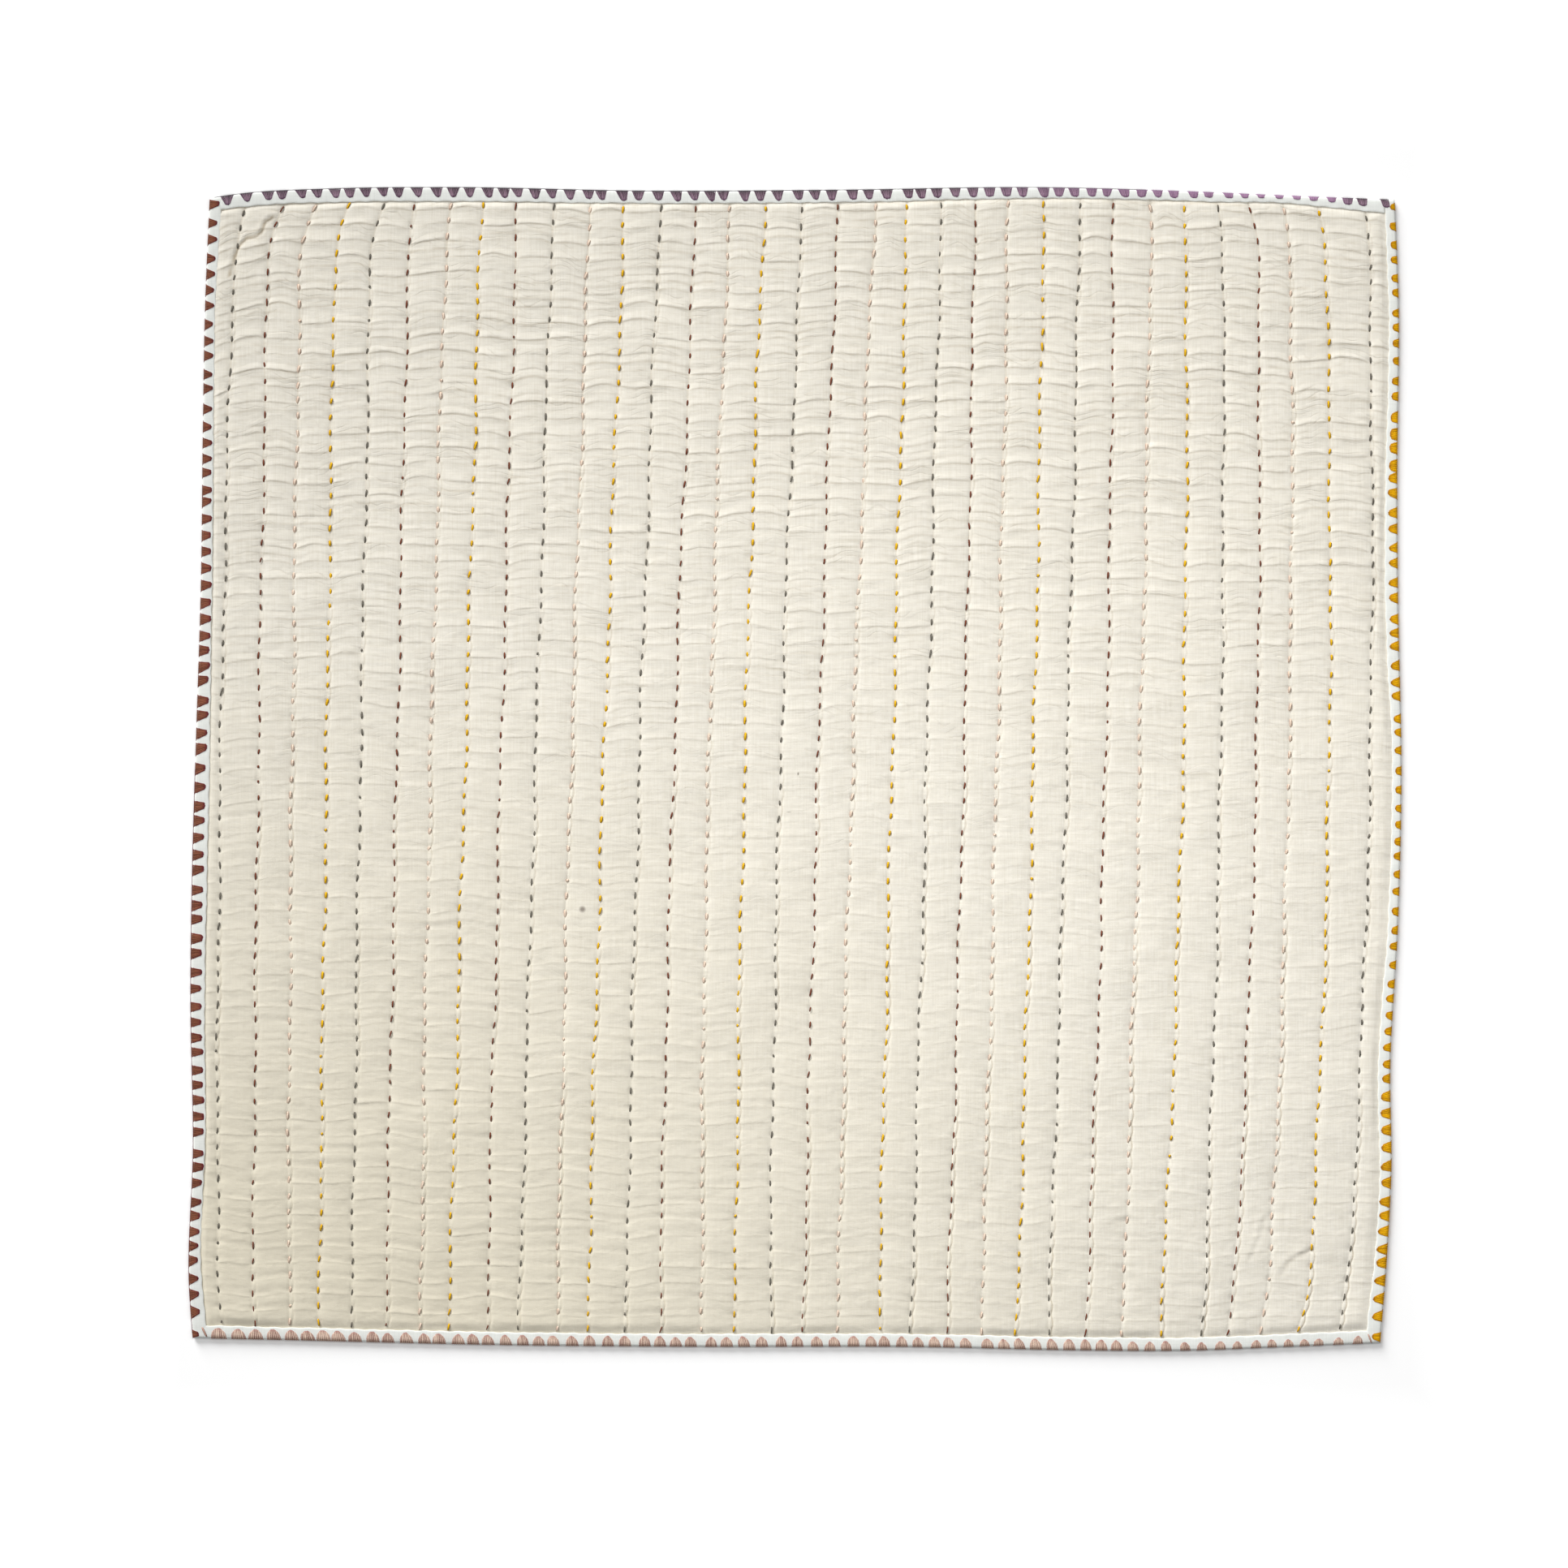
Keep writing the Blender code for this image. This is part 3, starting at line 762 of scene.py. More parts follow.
column_number, column_share, column_offset, column_swing = panel_columns()
row_place = panel_places()
number_grid, place_grid = np.meshgrid(column_number.astype(int), row_place)
share_grid = np.broadcast_to(column_share, place_grid.shape)
face_x, face_y, face_left, face_right = panel_point(
    number_grid, share_grid, column_offset, column_swing, place_grid
)
crossed_share = face_left / (face_left + face_right)
face_z, face_shade = face_relief(
    number_grid, crossed_share, place_grid, face_x, face_y, face_left, face_right
)
face_channel = number_grid + crossed_share
join_columns = [int(np.argmax(column_number == join)) for join in PANEL_JOINS]
for name, first, last in zip(
    ("quilt_face_left", "quilt_face_middle", "quilt_face_right"), (0, *join_columns),
    (*join_columns, len(column_number) - 1),
):
    panel = slice(first, last + 1)
    quilt_face = new_piece(
        name, point_rows(face_x[:, panel], face_y[:, panel], face_z[:, panel]),
        grid_faces(len(row_place), last + 1 - first), gauze,
        [("UVMap", point_rows(face_channel[:, panel], place_grid[:, panel]))],
    )
    # painted shade for the gauze colour, one value to a point
    shade_layer = quilt_face.data.attributes.new("crease_shade", "FLOAT", "POINT")
    shade_layer.data.foreach_set("value", face_shade[:, panel].ravel())
    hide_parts("quilted_body")

# Quilt back: the lowest layer of the same panel. It lies on the surface along its channels and
# lifts a little on each row of stitches.
BACK_LIFT = 1.3
BACK_FLOOR = 0.25
BACK_SHARES = (0.0, 0.12, 0.5, 0.88)
BACK_ROW_STEP = 0.5


def back_height(number, share, place, x, y, from_left, from_right):
    """Height of the quilt's back: near the surface, lifted by a bell on each row of stitches."""
    near = from_rows(number, from_left, from_right)
    lift = BACK_LIFT * bell(near, 3.0)
    swell = 0.12 * (1 + ripple(0.9 * (number + share), 2.0 * place))
    z = BACK_FLOOR + lift + swell
    under_binding = 1.5
    return under_binding + (z - under_binding) * binding_rise(x, y)


back_columns = np.array(
    [(0, 0.0), (0, 0.45), (0, 0.6)]
    + [(number, share) for number in range(1, ROWS) for share in BACK_SHARES]
    + [(ROWS, 0.0), (ROWS, 0.3), (ROWS, 0.6), (ROWS, 1.0)]
).T
back_places = np.array([-0.55, *np.arange(-0.13, STITCHES - 0.3, BACK_ROW_STEP), STITCHES - 0.1])
back_number, back_place = np.meshgrid(back_columns[0].astype(int), back_places)
back_share = np.broadcast_to(back_columns[1], back_place.shape)
back_x, back_y, back_left, back_right = panel_point(back_number, back_share, 0.0, 0.0, back_place)
back_z = back_height(back_number, back_share, back_place, back_x, back_y, back_left, back_right)
quilt_back = new_piece(
    "quilt_back", point_rows(back_x, back_y, back_z), grid_faces(*back_x.shape)[:, ::-1], gauze,
    [("UVMap", point_rows(back_number + back_share, back_place))],
)
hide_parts("quilted_body")

# Running stitch: 33 rows of thick soft cotton thread in four colours, sewn by hand through all
# the layers. Each stitch dives into the cloth at both ends and shows again on the back.
THREAD_SIDES = 6
# name, width, height, mean length, colour, colour of the painted shade down a stitch's sides
THREADS = (
    ("grey", 1.6, 1.1, 5.0, srgb(118, 112, 100), srgb(34, 33, 28)),
    ("brown", 1.6, 1.1, 5.0, srgb(128, 66, 42), srgb(44, 20, 12)),
    ("blush", 2.2, 0.8, 5.2, srgb(226, 210, 190), srgb(170, 120, 96)),
    ("mustard", 2.3, 1.3, 5.0, srgb(232, 182, 0), srgb(140, 92, 0)),
)
FACE_RINGS = (-1.0, -0.6, 0.0, 0.6, 1.0)
BACK_RINGS = (-1.0, -0.45, 0.45, 1.0)
LENGTH_SPREAD = 0.6
SHORT_SHARE = 0.03
SHORT_LENGTH = 2.2
LENGTH_LIMITS = (2.8, 6.8)
STITCH_LEAN = 0.09
STITCH_LEVEL = 3.45
FACE_ARCH = 0.65
BACK_ARCH = 0.45
SLOPE_REACH = 3.0
THREAD_SHIFT = 7.3


def build_twist_group():
    """Twisted cotton thread on UV, where U counts turns around and V millimetres along.

    Twist is a sine of the turns around plus the turns along, and Fleck is noise on the same UV.
    """
    group, entry, exit_node = new_group(
        "thread_twist", {"Vector": None, "Strands": 3.0, "Lay Length": 1.2}, ("Twist", "Fleck")
    )
    vector, strands, lay_length = entry.outputs[:3]
    parts = separate(group, vector)
    around = arithmetic(group, "MULTIPLY", parts["X"], strands)
    along = arithmetic(group, "DIVIDE", parts["Y"], lay_length)
    turns = arithmetic(group, "MULTIPLY", arithmetic(group, "ADD", around, along), 2 * np.pi)
    twist = weighted_sum(group, 0.5, (arithmetic(group, "SINE", turns), 0.5))
    fleck = add_node(group, "ShaderNodeTexNoise", {"Vector": vector, "Scale": 1.7, "Detail": 3.0})
    set_inputs(group, exit_node, {"Twist": twist, "Fleck": fleck.outputs["Fac"]})
    return group


twist_group = build_twist_group()


def thread_material(name, colour, shaded_colour):
    """Soft cotton thread: ply twist in the bump, flecks, and painted light and shade, lighter along
    its top and darker down its sides and in the twist's grooves.
    """
    material, tree, shader = new_material(
        name, {"Roughness": 0.75, "Specular IOR Level": 0.25, "Sheen Weight": 0.08}
    )
    uv = add_node(tree, "ShaderNodeTexCoord").outputs["UV"]
    thread_maps = add_node(tree, "ShaderNodeGroup", {"Vector": uv}, node_tree=twist_group).outputs
    # painted light and shade: the top of the thread lighter, its sides and the twist's grooves darker
    top = arithmetic(tree, "SINE", arithmetic(tree, "MULTIPLY", separate(tree, uv)["X"], 2 * np.pi))
    fleck_and_twist_shade = weighted_sum(tree, -1.3, (thread_maps["Twist"], 0.15), (thread_maps["Fleck"], 0.6))
    lightness = weighted_sum(tree, fleck_and_twist_shade, (top, 1.9))
    mixed = mix_colours(tree, lightness, shaded_colour, colour)
    bump = add_node(tree, "ShaderNodeBump", {"Height": thread_maps["Twist"], "Distance": 0.00009})
    set_inputs(tree, shader, {"Base Color": mixed, "Normal": bump.outputs[0]})
    return material


def tube_quads(rings, sides):
    """Quads of one tube of rings of points: its walls, and two quads for each hexagon end."""
    around = np.arange(sides)
    after = (around + 1) % sides
    ring = sides * np.arange(rings - 1)[:, None]
    walls = np.stack([ring + around, ring + after, ring + sides + after, ring + sides + around], -1)
    first = np.array([[3, 2, 1, 0], [5, 4, 3, 0]])
    last = np.array([[0, 1, 2, 3], [0, 3, 4, 5]]) + sides * (rings - 1)
    return np.concatenate([walls.reshape(-1, 4), first, last])


def stitch_tubes(x, y, run, length, width, height, lean, level, arch, rings):
    """Points, quads and UV of many stitches, each a flat tube that arches up between its ends.

    At s from -1 to 1 along a stitch, the tube's middle stands at level + arch (1 - s squared),
    and it narrows by 0.38 of s to the fourth power. The UV is shifted from stitch to stitch, so
    that their flecks differ.
    """
    x, y, run, length, width, lean, level = [
        each[:, None, None] for each in (x, y, run, length, width, lean, level)
    ]
    s = np.array(rings)[None, :, None]
    turn = (np.arange(THREAD_SIDES) + 0.5) / THREAD_SIDES
    side = np.cos(2 * np.pi * turn)
    out = np.sin(2 * np.pi * turn)
    narrow = 1 - 0.38 * s**4
    along = 0.5 * length * s
    sideways = 0.5 * width * narrow * side + lean * along
    lift = level + arch * (1 - s * s) + 0.5 * height * narrow * out
    count = np.arange(len(x))[:, None, None]
    points = point_rows(x + sideways + run * along, y + along, lift)
    quads = tube_quads(len(rings), THREAD_SIDES)[None] + len(rings) * THREAD_SIDES * count
    return points, quads.reshape(-1, 4), point_rows(turn + count, along + THREAD_SHIFT * count)


def sew_rows(thread, side_up, rings, phase, level, arch, random):
    """All the stitches of one thread on one side of the panel, thinner toward the foot.

    Side up is 1 on the face, where stitches arch upward, and -1 on the back.
    """
    name, width, height, mean_length, _, _ = thread
    numbers = [k + 1 for k, row in enumerate(STITCH_ROWS) if row[0] == name]
    number, place = [item.ravel() for item in np.meshgrid(numbers, np.arange(STITCHES) + phase)]
    place = place + random.normal(0, 0.03, place.shape)
    x = row_x(number, np.zeros_like(place))
    for _ in range(4):
        y = stitch_y(number, place, x)
        x = row_x(number, y)
    run = (row_x(number, y + SLOPE_REACH) - row_x(number, y - SLOPE_REACH)) / (2 * SLOPE_REACH)
    length = mean_length + LENGTH_SPREAD * random.normal(0, 1, place.shape)
    short = random.random(place.shape) < SHORT_SHARE
    length = np.where(short, SHORT_LENGTH, np.clip(length, *LENGTH_LIMITS))
    widths = width * random.uniform(0.88, 1.12, place.shape) * np.clip(1.05 + y / 1800.0, 0.8, 1)
    lean = random.normal(0.07, STITCH_LEAN, place.shape)
    levels = level + random.normal(0, 0.06, place.shape)
    return stitch_tubes(x, y, run, length, widths, height, lean, levels, side_up * arch, rings)


thread_random = np.random.default_rng(33)
for thread in THREADS:
    thread_name, _, _, _, thread_colour, thread_shade = thread
    cotton = thread_material(thread_name + "_cotton", thread_colour, thread_shade)
    face_points, face_quads, face_uv = sew_rows(
        thread, 1, FACE_RINGS, STITCH_PHASE, STITCH_LEVEL, FACE_ARCH, thread_random
    )
    back_points, back_quads, back_uv = sew_rows(
        thread, -1, BACK_RINGS, STITCH_PHASE + 0.5, BACK_LIFT - 0.1, BACK_ARCH, thread_random
    )
    new_piece(
        "stitches_" + thread_name, np.concatenate([face_points, back_points]),
        np.concatenate([face_quads, back_quads + len(face_points)]), cotton,
        [("UVMap", np.concatenate([face_uv, back_uv]))],
    )

# Binding: four strips of white cotton tape folded over the edges. The side strips run the full
# height with closed ends, and the top and bottom strips tuck under them.
TAPE_TOP = 4.0
TAPE_BOTTOM = 0.4
FLAP_WIDTH = 10.0
FLAP_EDGE_RADIUS = 0.4
TUCK = 1.6
# rough lengths of the upright and level sides, spans of their tape widths' places, and a mean length
SIDE_LENGTHS = (880.0, 920.0)
WIDTH_SPANS = (885.0, 925.0)
MEAN_LENGTH = 900.0
CLOSED_END = 2.0
# name, number of fans of embroidery, share along the side of the first and of the last
SIDES = (
    ("left", 69, 0.004, 0.994), ("right", 67, 0.005, 0.994), ("top", 68, 0.0145, 0.991),
    ("bottom", 68, 0.022, 0.981),
)
STEPS_PER_FAN = 5
FAN_JITTER = 0.085
FOLD_RADIUS = 0.5 * (TAPE_TOP - TAPE_BOTTOM)
FOLD_MIDDLE = 0.5 * (TAPE_TOP + TAPE_BOTTOM)
place_random = np.random.default_rng(68)
fan_places = {}
for side_name, fans, first_share, last_share in SIDES:
    even = np.linspace(first_share, last_share, fans)
    sway = 0.1 * np.sin(0.55 * np.arange(fans)) + 0.18 * np.sin(0.17 * np.arange(fans) + 1.0)
    jitter = place_random.normal(0, FAN_JITTER, fans) + sway
    jitter[[0, -1]] = 0.0
    fan_places[side_name] = even + jitter * (last_share - first_share) / fans


def edge_point(side, along, inset):
    """Plan place on an edge: a share along it, from the bottom or the left, and an inset."""
    x = np.zeros(np.broadcast(along, inset).shape)
    y = np.zeros_like(x)
    for _ in range(4):
        if side in ("left", "right"):
            x = edge("left", y) + inset if side == "left" else edge("right", y) - inset
            low = edge("bottom", x)
            y = low + along * (edge("top", x) - low)
        else:
            y = edge("bottom", x) + inset if side == "bottom" else edge("top", x) - inset
            low = edge("left", y)
            x = low + along * (edge("right", y) - low)
    return x, y


def tape_profile():
    """Inset and height around the folded tape, from under the top flap's edge to the bottom flap's.

    Both flap edges are small half circles, the outer fold is a large one, and a few points lie on
    each flap between them.
    """
    small = np.linspace(-0.5 * np.pi, 0.5 * np.pi, 5)
    large = np.linspace(0.5 * np.pi, 1.5 * np.pi, 9)
    flap_edge = FLAP_WIDTH - FLAP_EDGE_RADIUS
    inset = np.concatenate(
        [
            flap_edge + FLAP_EDGE_RADIUS * np.cos(small), [8.4, 6.5, 4.2],
            FOLD_RADIUS + FOLD_RADIUS * np.cos(large), [4.4, 7.4],
            flap_edge + FLAP_EDGE_RADIUS * np.cos(small),
        ]
    )
    height = np.concatenate(
        [
            TAPE_TOP + FLAP_EDGE_RADIUS * (np.sin(small) - 1), [TAPE_TOP, TAPE_TOP, TAPE_TOP],
            FOLD_MIDDLE + FOLD_RADIUS * np.sin(large), [TAPE_BOTTOM, TAPE_BOTTOM],
            TAPE_BOTTOM + FLAP_EDGE_RADIUS * (np.sin(small) + 1),
        ]
    )
    return inset, height


def fan_count_at(side, along):
    """Fans counted along a side up to a share of it, with whole numbers at their middles."""
    places = fan_places[side]
    step = (places[-1] - places[0]) / (len(places) - 1)
    inner = np.interp(along, places, np.arange(len(places)))
    before = np.minimum(along - places[0], 0) / step
    after = np.maximum(along - places[-1], 0) / step
    return inner + before + after


white_tape, _, _, _ = cloth_material(
    "white_tape", srgb(230, 232, 227), srgb(219, 221, 216), 0.00045, 0.00003, 0.00008
)
profile_inset, profile_height = tape_profile()
for side_name, fans, _, _ in SIDES:
    across_ends = side_name in ("top", "bottom")
    tuck_share = (FLAP_WIDTH - TUCK) / SIDE_LENGTHS[1] if across_ends else 0.0
    end_steps = np.array([0.0, 0.0003, 0.001, 0.0022])
    middle_steps = np.linspace(0.004, 0.996, STEPS_PER_FAN * fans + 1)
    strip_share = np.concatenate([end_steps, middle_steps, 1 - end_steps[::-1]])
    to_end = MEAN_LENGTH * np.minimum(strip_share, 1 - strip_share)
    strip_along = tuck_share + (1 - 2 * tuck_share) * strip_share
    cap = np.sqrt(1 - (1 - np.clip(to_end / CLOSED_END, 0, 1)) ** 2)
    cap = 0.82 + 0.18 * cap if across_ends else cap
    along_grid = strip_along[:, None]
    fan_number = fan_count_at(side_name, along_grid)
    puff = np.sin(np.pi * fan_number) ** 2
    on_top = profile_height[None, :] > FOLD_MIDDLE
    wave = 0.3 * ripple(40.0 * along_grid, 0.0) + 0.28 * np.sin(2 * np.pi * fan_number + 1.0)
    run_along = (along_grid - 0.5) * WIDTH_SPANS[across_ends]
    wave = wave + tape_width(side_name, run_along) - FLAP_WIDTH
    flap_share = np.clip((profile_inset[None, :] - 3.0) / (FLAP_WIDTH - 4.0), 0, 1)
    inset_grid = profile_inset[None, :] + wave * flap_share
    inset_grid = inset_grid + 0.1 * (1 - puff) * (profile_inset[None, :] < 1.5)
    tape_z = profile_height[None, :] + 0.25 * puff * bell(profile_inset[None, :] - 5.5, 3.5) * on_top
    tape_z = FOLD_MIDDLE + (tape_z - FOLD_MIDDLE) * cap[:, None]
    tape_x, tape_y = edge_point(side_name, along_grid, inset_grid)
    tape_quads = grid_faces(*tape_x.shape)
    if side_name in ("left", "top"):
        tape_quads = tape_quads[:, ::-1]
    tape = new_piece(
        "tape_" + side_name, point_rows(tape_x, tape_y, tape_z), tape_quads, white_tape,
    )
    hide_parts("binding_" + side_name)

# Edge embroidery: fans of flat thread sewn over the tape, one colour to a side. Their strands
# spread out on the edge, wrap round it and go back the same way underneath.
STRANDS = 7
STRAND_COLUMNS = 4
# share along the side, length, half width at the edge and at the tip, lean of the tip
FAN_ROWS = {
    "left": (
        (0.0, 4.8, 3.2, 1.6, 0.3), (0.016, 7.4, 6.6, 1.6, 1.4), (0.07, 7.8, 6.4, 1.8, 1.2),
        (0.14, 8.6, 4.9, 2.3, 0.3), (0.25, 9.0, 4.7, 2.3, 0.2), (0.5, 8.8, 6.0, 2.3, 0.9),
        (0.62, 8.8, 5.6, 2.3, 0.3), (0.75, 7.4, 5.2, 1.6, -0.2), (0.94, 7.2, 5.6, 1.4, -1.2),
        (1.0, 7.6, 4.6, 1.8, -0.6),
    ),
    "right": (
        (0.0, 6.5, 4.4, 2.0, 0.4), (0.03, 9.0, 5.8, 2.1, -0.2), (0.15, 8.2, 5.8, 2.2, 0.0),
        (0.21, 7.6, 5.4, 2.3, 0.0), (0.24, 6.2, 4.7, 2.2, 0.0), (0.33, 5.8, 4.4, 2.2, 0.0),
        (0.5, 4.8, 4.2, 2.2, 0.0), (0.57, 7.0, 5.1, 1.9, -0.4), (0.74, 7.6, 5.5, 1.8, -0.6),
        (0.77, 6.4, 6.2, 3.6, 0.0), (0.81, 6.0, 5.8, 3.4, 0.0), (0.83, 5.2, 4.4, 2.2, 0.0),
        (0.985, 5.2, 4.0, 2.2, 0.0), (1.0, 3.0, 3.4, 1.6, -0.8),
    ),
    "top": (
        (0.0, 8.4, 6.4, 2.2, 2.4), (0.03, 7.0, 6.2, 2.1, 1.3), (0.2, 7.6, 6.3, 2.1, 1.4),
        (0.5, 8.2, 6.0, 2.2, 1.2), (0.7, 7.6, 5.6, 2.6, 0.8), (0.82, 5.4, 5.2, 2.8, 0.4),
        (0.905, 2.6, 4.2, 2.4, 0.2), (0.94, 3.4, 4.7, 2.8, 0.0), (0.97, 6.0, 4.9, 3.0, 0.0),
        (1.0, 7.0, 3.4, 2.2, 2.2),
    ),
    "bottom": (
        (0.0, 8.8, 6.6, 4.0, 0.2), (0.1, 8.2, 6.2, 3.8, -0.5), (0.25, 8.0, 5.4, 3.4, -0.6),
        (0.5, 7.8, 5.2, 3.3, -0.7), (0.75, 8.3, 5.2, 3.2, -0.9), (0.92, 5.8, 4.2, 2.6, -0.4),
        (0.97, 6.0, 4.4, 2.6, -0.5), (1.0, 7.0, 5.0, 3.0, -0.8),
    ),
}
# power of the flare towards the edge, and rounding of the tip
FAN_SHAPES = {"left": (1.35, 0.1), "right": (1.2, 0.2), "top": (1.4, 0.16), "bottom": (0.9, 0.42)}
# at the edge, in the middle, at the tip, painted shade between the strands, outline
FAN_COLOURS = {
    "left": (
        srgb(116, 71, 50), srgb(155, 95, 71), srgb(146, 80, 64), srgb(76, 40, 28), srgb(112, 30, 52),
    ),
    "right": (
        srgb(236, 172, 0), srgb(248, 188, 0), srgb(236, 168, 0), srgb(164, 108, 0), srgb(146, 84, 2),
    ),
    "top": (
        srgb(50, 48, 50), srgb(150, 122, 138), srgb(190, 158, 178), srgb(46, 34, 42), srgb(92, 56, 86),
    ),
    "bottom": (
        srgb(190, 160, 140), srgb(240, 214, 194), srgb(232, 202, 182), srgb(142, 102, 94),
        srgb(166, 122, 116),
    ),
}
# side, colour, share along the side where the thread ends
CORDED_SIDES = (("left", srgb(96, 44, 58), 0.5), ("top", srgb(58, 52, 58), 0.79))
CORD_RADIUS = 0.5
LILAC = srgb(182, 138, 180)
# metres across, between which the top fans turn paler and then darker again
LILAC_SPANS = ((0.12, 0.36), (0.41, 0.43))
THREAD_RISE = 0.34
THREAD_SINK = 0.06
TAPE_CLEARANCE = 0.14
FAN_STATIONS = (0.0, 0.035, 0.12, 0.24, 0.36, 0.46, 0.55, 0.65, 0.8, 0.96, 1.0)
UNDER_SHARE = 0.8
# middle, run across for each step up, length, width
CORNER_STITCHES = ((-455.2, -432.4, -0.48, 7.2, 1.9), (441.0, -437.4, -0.38, 6.8, 1.4))


def fan_material(name, colours):
    """Shiny flat embroidery thread: painted shade between its strands and in the twist, and a darker
    outline round a fan.

    The first UV map counts strands and millimetres from the edge. The second goes from -1 to 1
    across a fan and from 0 to 1 from the edge to the tip.
    """
    edge_colour, middle_colour, tip_colour, gap_shade_colour, outline_colour = colours
    material, tree, shader = new_material(name, {"Roughness": 0.6, "Specular IOR Level": 0.12})
    thread_uv = add_node(tree, "ShaderNodeUVMap", uv_map="UVMap").outputs[0]
    shape_uv = add_node(tree, "ShaderNodeUVMap", uv_map="shape").outputs[0]
    thread_values = {"Vector": thread_uv, "Strands": 2.0, "Lay Length": 0.9}
    thread_maps = add_node(tree, "ShaderNodeGroup", thread_values, node_tree=twist_group).outputs
    strand_count = separate(tree, thread_uv)["X"]
    shape_parts = separate(tree, shape_uv)
    ramp = add_node(tree, "ShaderNodeValToRGB", {0: shape_parts["Y"]})
    ramp.color_ramp.elements[0].color = edge_colour
    ramp.color_ramp.elements[0].position = 0.12
    ramp.color_ramp.elements[1].color = tip_colour
    ramp.color_ramp.elements[1].position = 0.95
    ramp.color_ramp.elements.new(0.5).color = middle_colour
    in_strand = arithmetic(tree, "FRACT", strand_count)
    ridge = arithmetic(tree, "SINE", arithmetic(tree, "MULTIPLY", in_strand, np.pi))
    strand_number = arithmetic(tree, "FLOOR", strand_count)
    tone = add_node(tree, "ShaderNodeTexWhiteNoise", {"W": strand_number}, noise_dimensions="1D")
    # painted shade: the gaps between strands and the twist's grooves take the gap shade colour
    body = weighted_sum(tree, thread_maps["Fleck"], (ridge, 1.0), (thread_maps["Twist"], 0.15))
    body = weighted_sum(tree, body, (tone.outputs["Value"], 0.55))
    cover = map_range(tree, body, 1.05, 1.75)
    flank = arithmetic(tree, "ABSOLUTE", shape_parts["X"])
    border = arithmetic(tree, "MAXIMUM", flank, shape_parts["Y"])
    outline = map_range(tree, border, 0.76, 0.94, 0.0, 0.8)
    strands = mix_colours(tree, cover, gap_shade_colour, ramp.outputs[0])
    outlined = mix_colours(tree, outline, strands, outline_colour)
    if name.endswith("top"):
        place = add_node(tree, "ShaderNodeTexCoord").outputs["Object"]
        across = separate(tree, place)["X"]
        paler, dark_end = [map_range(tree, across, *span, 0.0, 0.5) for span in LILAC_SPANS]
        lilac_share = arithmetic(tree, "SUBTRACT", paler, dark_end)
        outlined = mix_colours(tree, lilac_share, outlined, LILAC)
    bump = add_node(tree, "ShaderNodeBump", {"Height": thread_maps["Twist"], "Distance": 0.0001})
    set_inputs(tree, shader, {"Base Color": outlined, "Normal": bump.outputs[0]})
    return material


def wrap_tape(run, rise):
    """Inset and height of a point that lies `run` past the start of the outer fold, `rise` proud.

    A negative run is on the top flap, then comes half a turn round the fold, then the underside.
    """
    half_turn = np.pi * FOLD_RADIUS
    angle = np.clip(run, 0, half_turn) / FOLD_RADIUS
    inset = FOLD_RADIUS - (FOLD_RADIUS + rise) * np.sin(angle)
    height = FOLD_MIDDLE + (FOLD_RADIUS + rise) * np.cos(angle)
    inset = inset - np.minimum(run, 0) + np.maximum(run - half_turn, 0)
    return inset, height


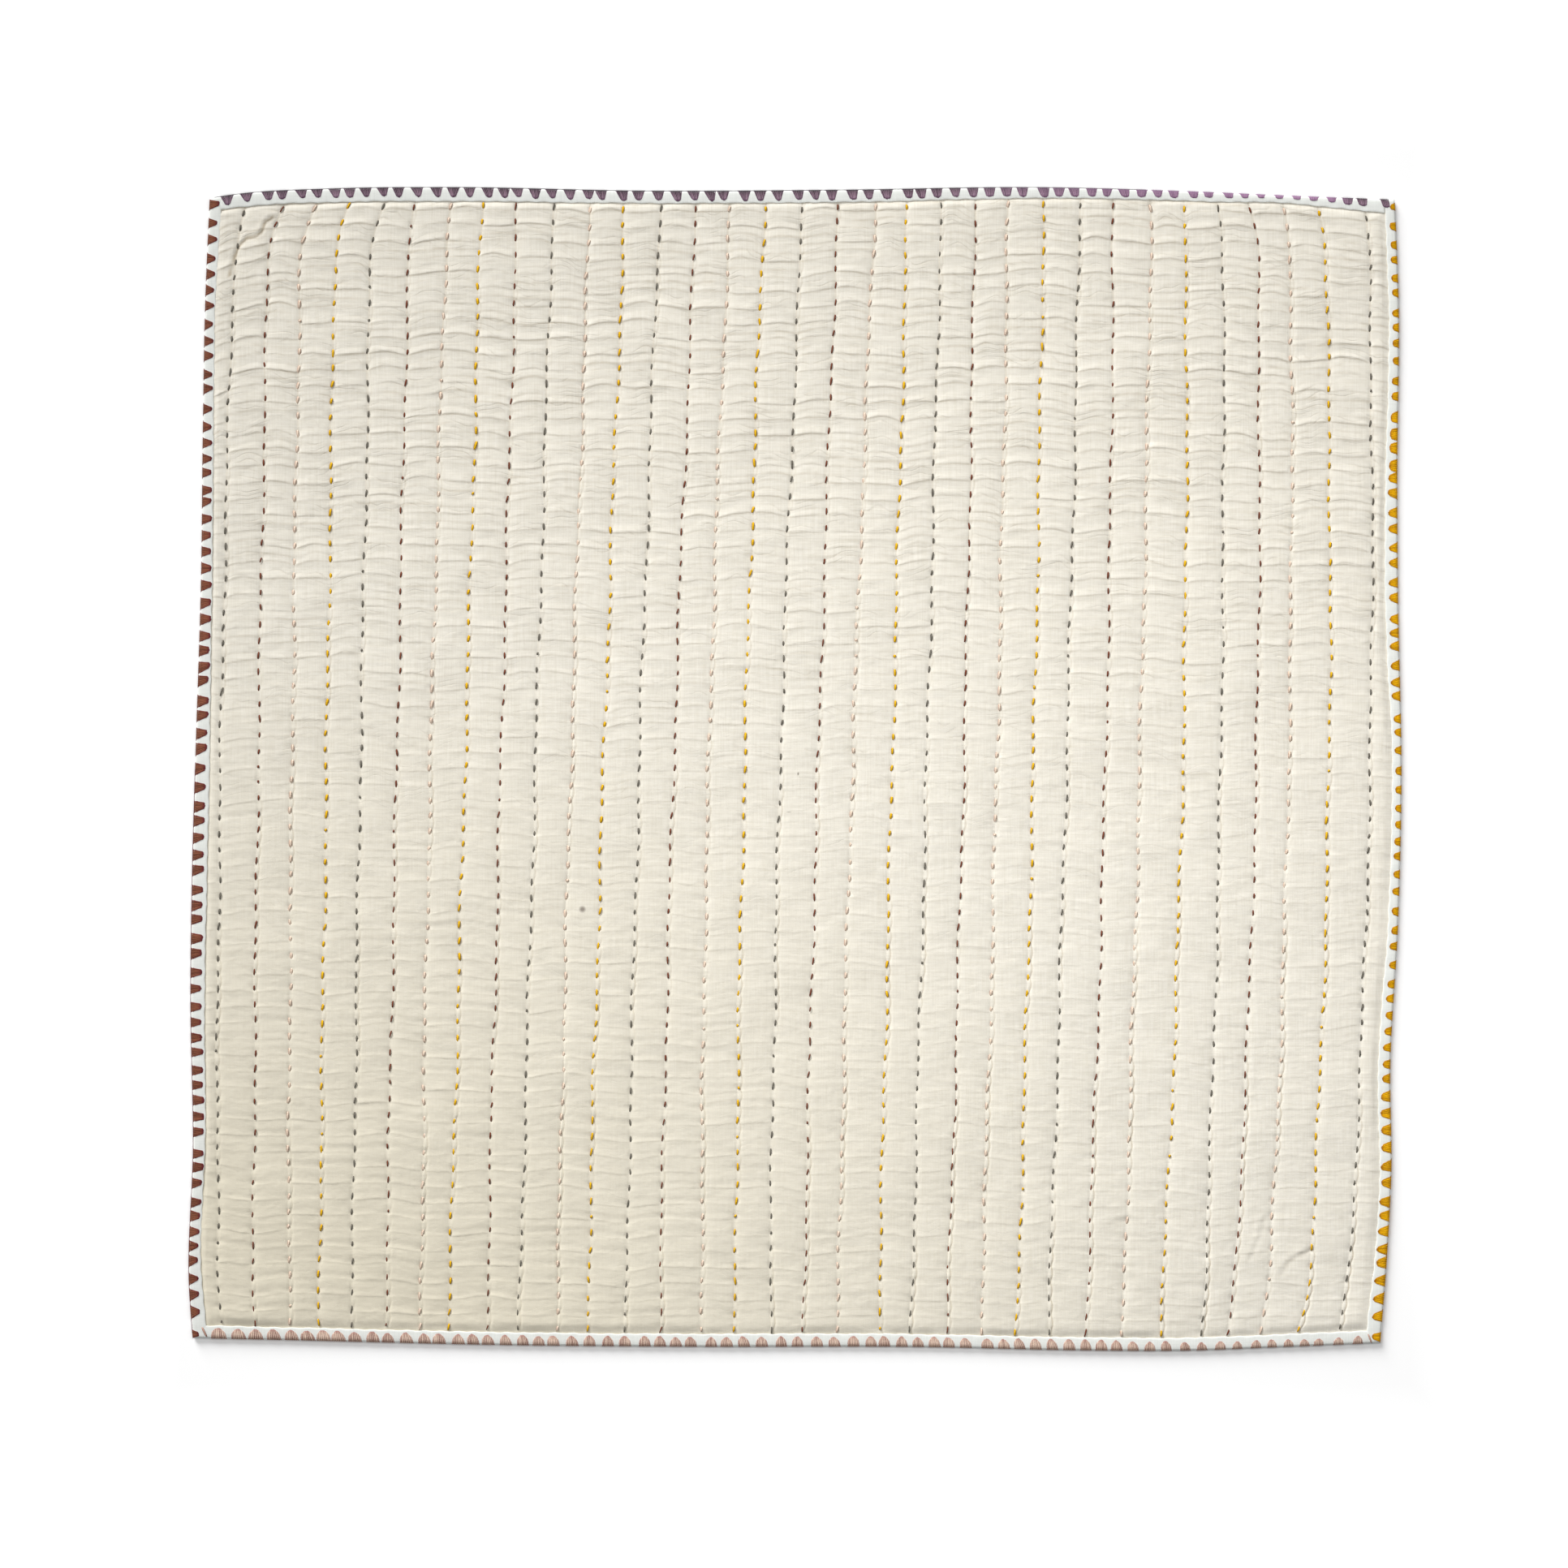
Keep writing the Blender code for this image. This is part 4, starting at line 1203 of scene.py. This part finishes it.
def sew_fans(side, random):
    """All the fans of one side: a ridged surface for each, one ridge to a strand.

    Across a fan goes from -1 to 1, and along it from the top tip, over the edge, to the tip
    underneath. The half width is tip + (base - tip) (1 - out) to the power of the flare.
    """
    side_length = SIDE_LENGTHS[side in ("top", "bottom")]
    places = fan_places[side]
    count = len(places)
    columns = STRANDS * STRAND_COLUMNS + 1
    across = np.linspace(-1, 1, columns)[None, None, :]
    in_strand = (across + 1) / 2 * STRANDS
    strand = np.clip(in_strand.astype(int), 0, STRANDS - 1)[0, 0]
    ridge = np.abs(np.sin(np.pi * in_strand)) ** 0.7
    along_rows, length_rows, half_rows, tip_rows, lean_rows = np.array(FAN_ROWS[side]).T
    share = places[:, None, None]
    length = np.interp(share, along_rows, length_rows) * random.uniform(0.93, 1.06, share.shape)
    base_half = np.interp(share, along_rows, half_rows) * random.uniform(0.93, 1.05, share.shape)
    lean = np.interp(share, along_rows, lean_rows) + random.normal(0, 0.45, share.shape)
    tip_half = np.interp(share, along_rows, tip_rows) * random.uniform(0.85, 1.15, share.shape)
    flare, rounding = FAN_SHAPES[side]
    ragged = random.uniform(-0.03, 0.03, (count, 1, STRANDS))[:, :, strand]
    reach = 1 - rounding * np.abs(across) ** 2.2 + ragged - 0.04 * (1 - ridge)
    top_run = FOLD_RADIUS - length * reach
    end_run = np.pi * FOLD_RADIUS + UNDER_SHARE * length * reach - FOLD_RADIUS
    station = np.array(FAN_STATIONS)[None, :, None]
    run = top_run + station * (end_run - top_run)
    from_edge = np.abs(run - 0.5 * np.pi * FOLD_RADIUS)
    out = np.clip(from_edge / (length + (0.5 * np.pi - 1) * FOLD_RADIUS), 0, 1)
    half = tip_half + (base_half - tip_half) * (1 - out) ** flare
    end_fade = np.clip(np.minimum(station, 1 - station) / FAN_STATIONS[1], 0, 1)
    side_fade = np.clip((1 - np.abs(across)) * STRANDS * 0.9, 0, 1)
    proud = THREAD_RISE * (0.25 + 0.75 * ridge) * side_fade * end_fade
    proud = proud - THREAD_SINK * (1 - end_fade) - THREAD_SINK * (1 - side_fade)
    inset, z = wrap_tape(run, proud)
    z = np.where(run <= 0, TAPE_TOP + TAPE_CLEARANCE + proud, z)
    z = np.where(run >= np.pi * FOLD_RADIUS, TAPE_BOTTOM - proud, z)
    x, y = edge_point(side, share + (half * across + lean * out) / side_length, inset)
    quads = grid_faces(len(FAN_STATIONS), columns)
    if side in ("right", "bottom"):
        quads = quads[:, ::-1]
    number = np.arange(count)[:, None, None]
    quads = quads[None] + len(FAN_STATIONS) * columns * number
    thread_uv = point_rows(in_strand + 12 * number, from_edge)
    layers = [("UVMap", thread_uv), ("shape", point_rows(across, out))]
    return point_rows(x, y, z), quads.reshape(-1, 4), layers


fan_random = np.random.default_rng(71)
for side_name, _, _, _ in SIDES:
    fan_points, fan_quads, fan_layers = sew_fans(side_name, fan_random)
    new_piece(
        "edge_fans_" + side_name, fan_points, fan_quads,
        fan_material("fan_thread_" + side_name, FAN_COLOURS[side_name]),
        fan_layers,
    )

# Thread that runs along the edge from fan to fan, where it shows between them
for side_name, cord_colour, cord_end in CORDED_SIDES:
    cord_along = np.linspace(0.004, cord_end, 200)[:, None]
    cord_angle = 2 * np.pi * (np.arange(THREAD_SIDES)[None, :] + 0.5) / THREAD_SIDES
    cord_x, cord_y = edge_point(side_name, cord_along, 0.2 - CORD_RADIUS * np.cos(cord_angle))
    cord_z = FOLD_MIDDLE + 0.4 + CORD_RADIUS * np.sin(cord_angle)
    cord_uv = point_rows(cord_angle / (2 * np.pi), MEAN_LENGTH * cord_along)
    cord_quads = tube_quads(len(cord_along), THREAD_SIDES)
    if side_name == "top":
        cord_quads = cord_quads[:, ::-1]
    new_piece(
        "edge_cord_" + side_name, point_rows(cord_x, cord_y, cord_z), cord_quads,
        thread_material("edge_cord_" + side_name, cord_colour, cord_colour),
        [("UVMap", cord_uv)],
    )

# A slanting stitch at each lower corner, where the bottom fans end
corner_x, corner_y, corner_run, corner_length, corner_width = np.array(CORNER_STITCHES).T
corner_points, corner_quads, corner_uv = stitch_tubes(
    corner_x - MIDDLE_X, corner_y - MIDDLE_Y, corner_run, corner_length, corner_width, 1.0, 0 * corner_x,
    0 * corner_x + TAPE_TOP + 0.1, 0.3, FACE_RINGS,
)
# the second colour is painted shade down the stitches' sides
new_piece(
    "corner_stitches", corner_points, corner_quads,
    thread_material("corner_cotton", srgb(196, 158, 140), srgb(128, 88, 80)),
    [("UVMap", corner_uv)],
)
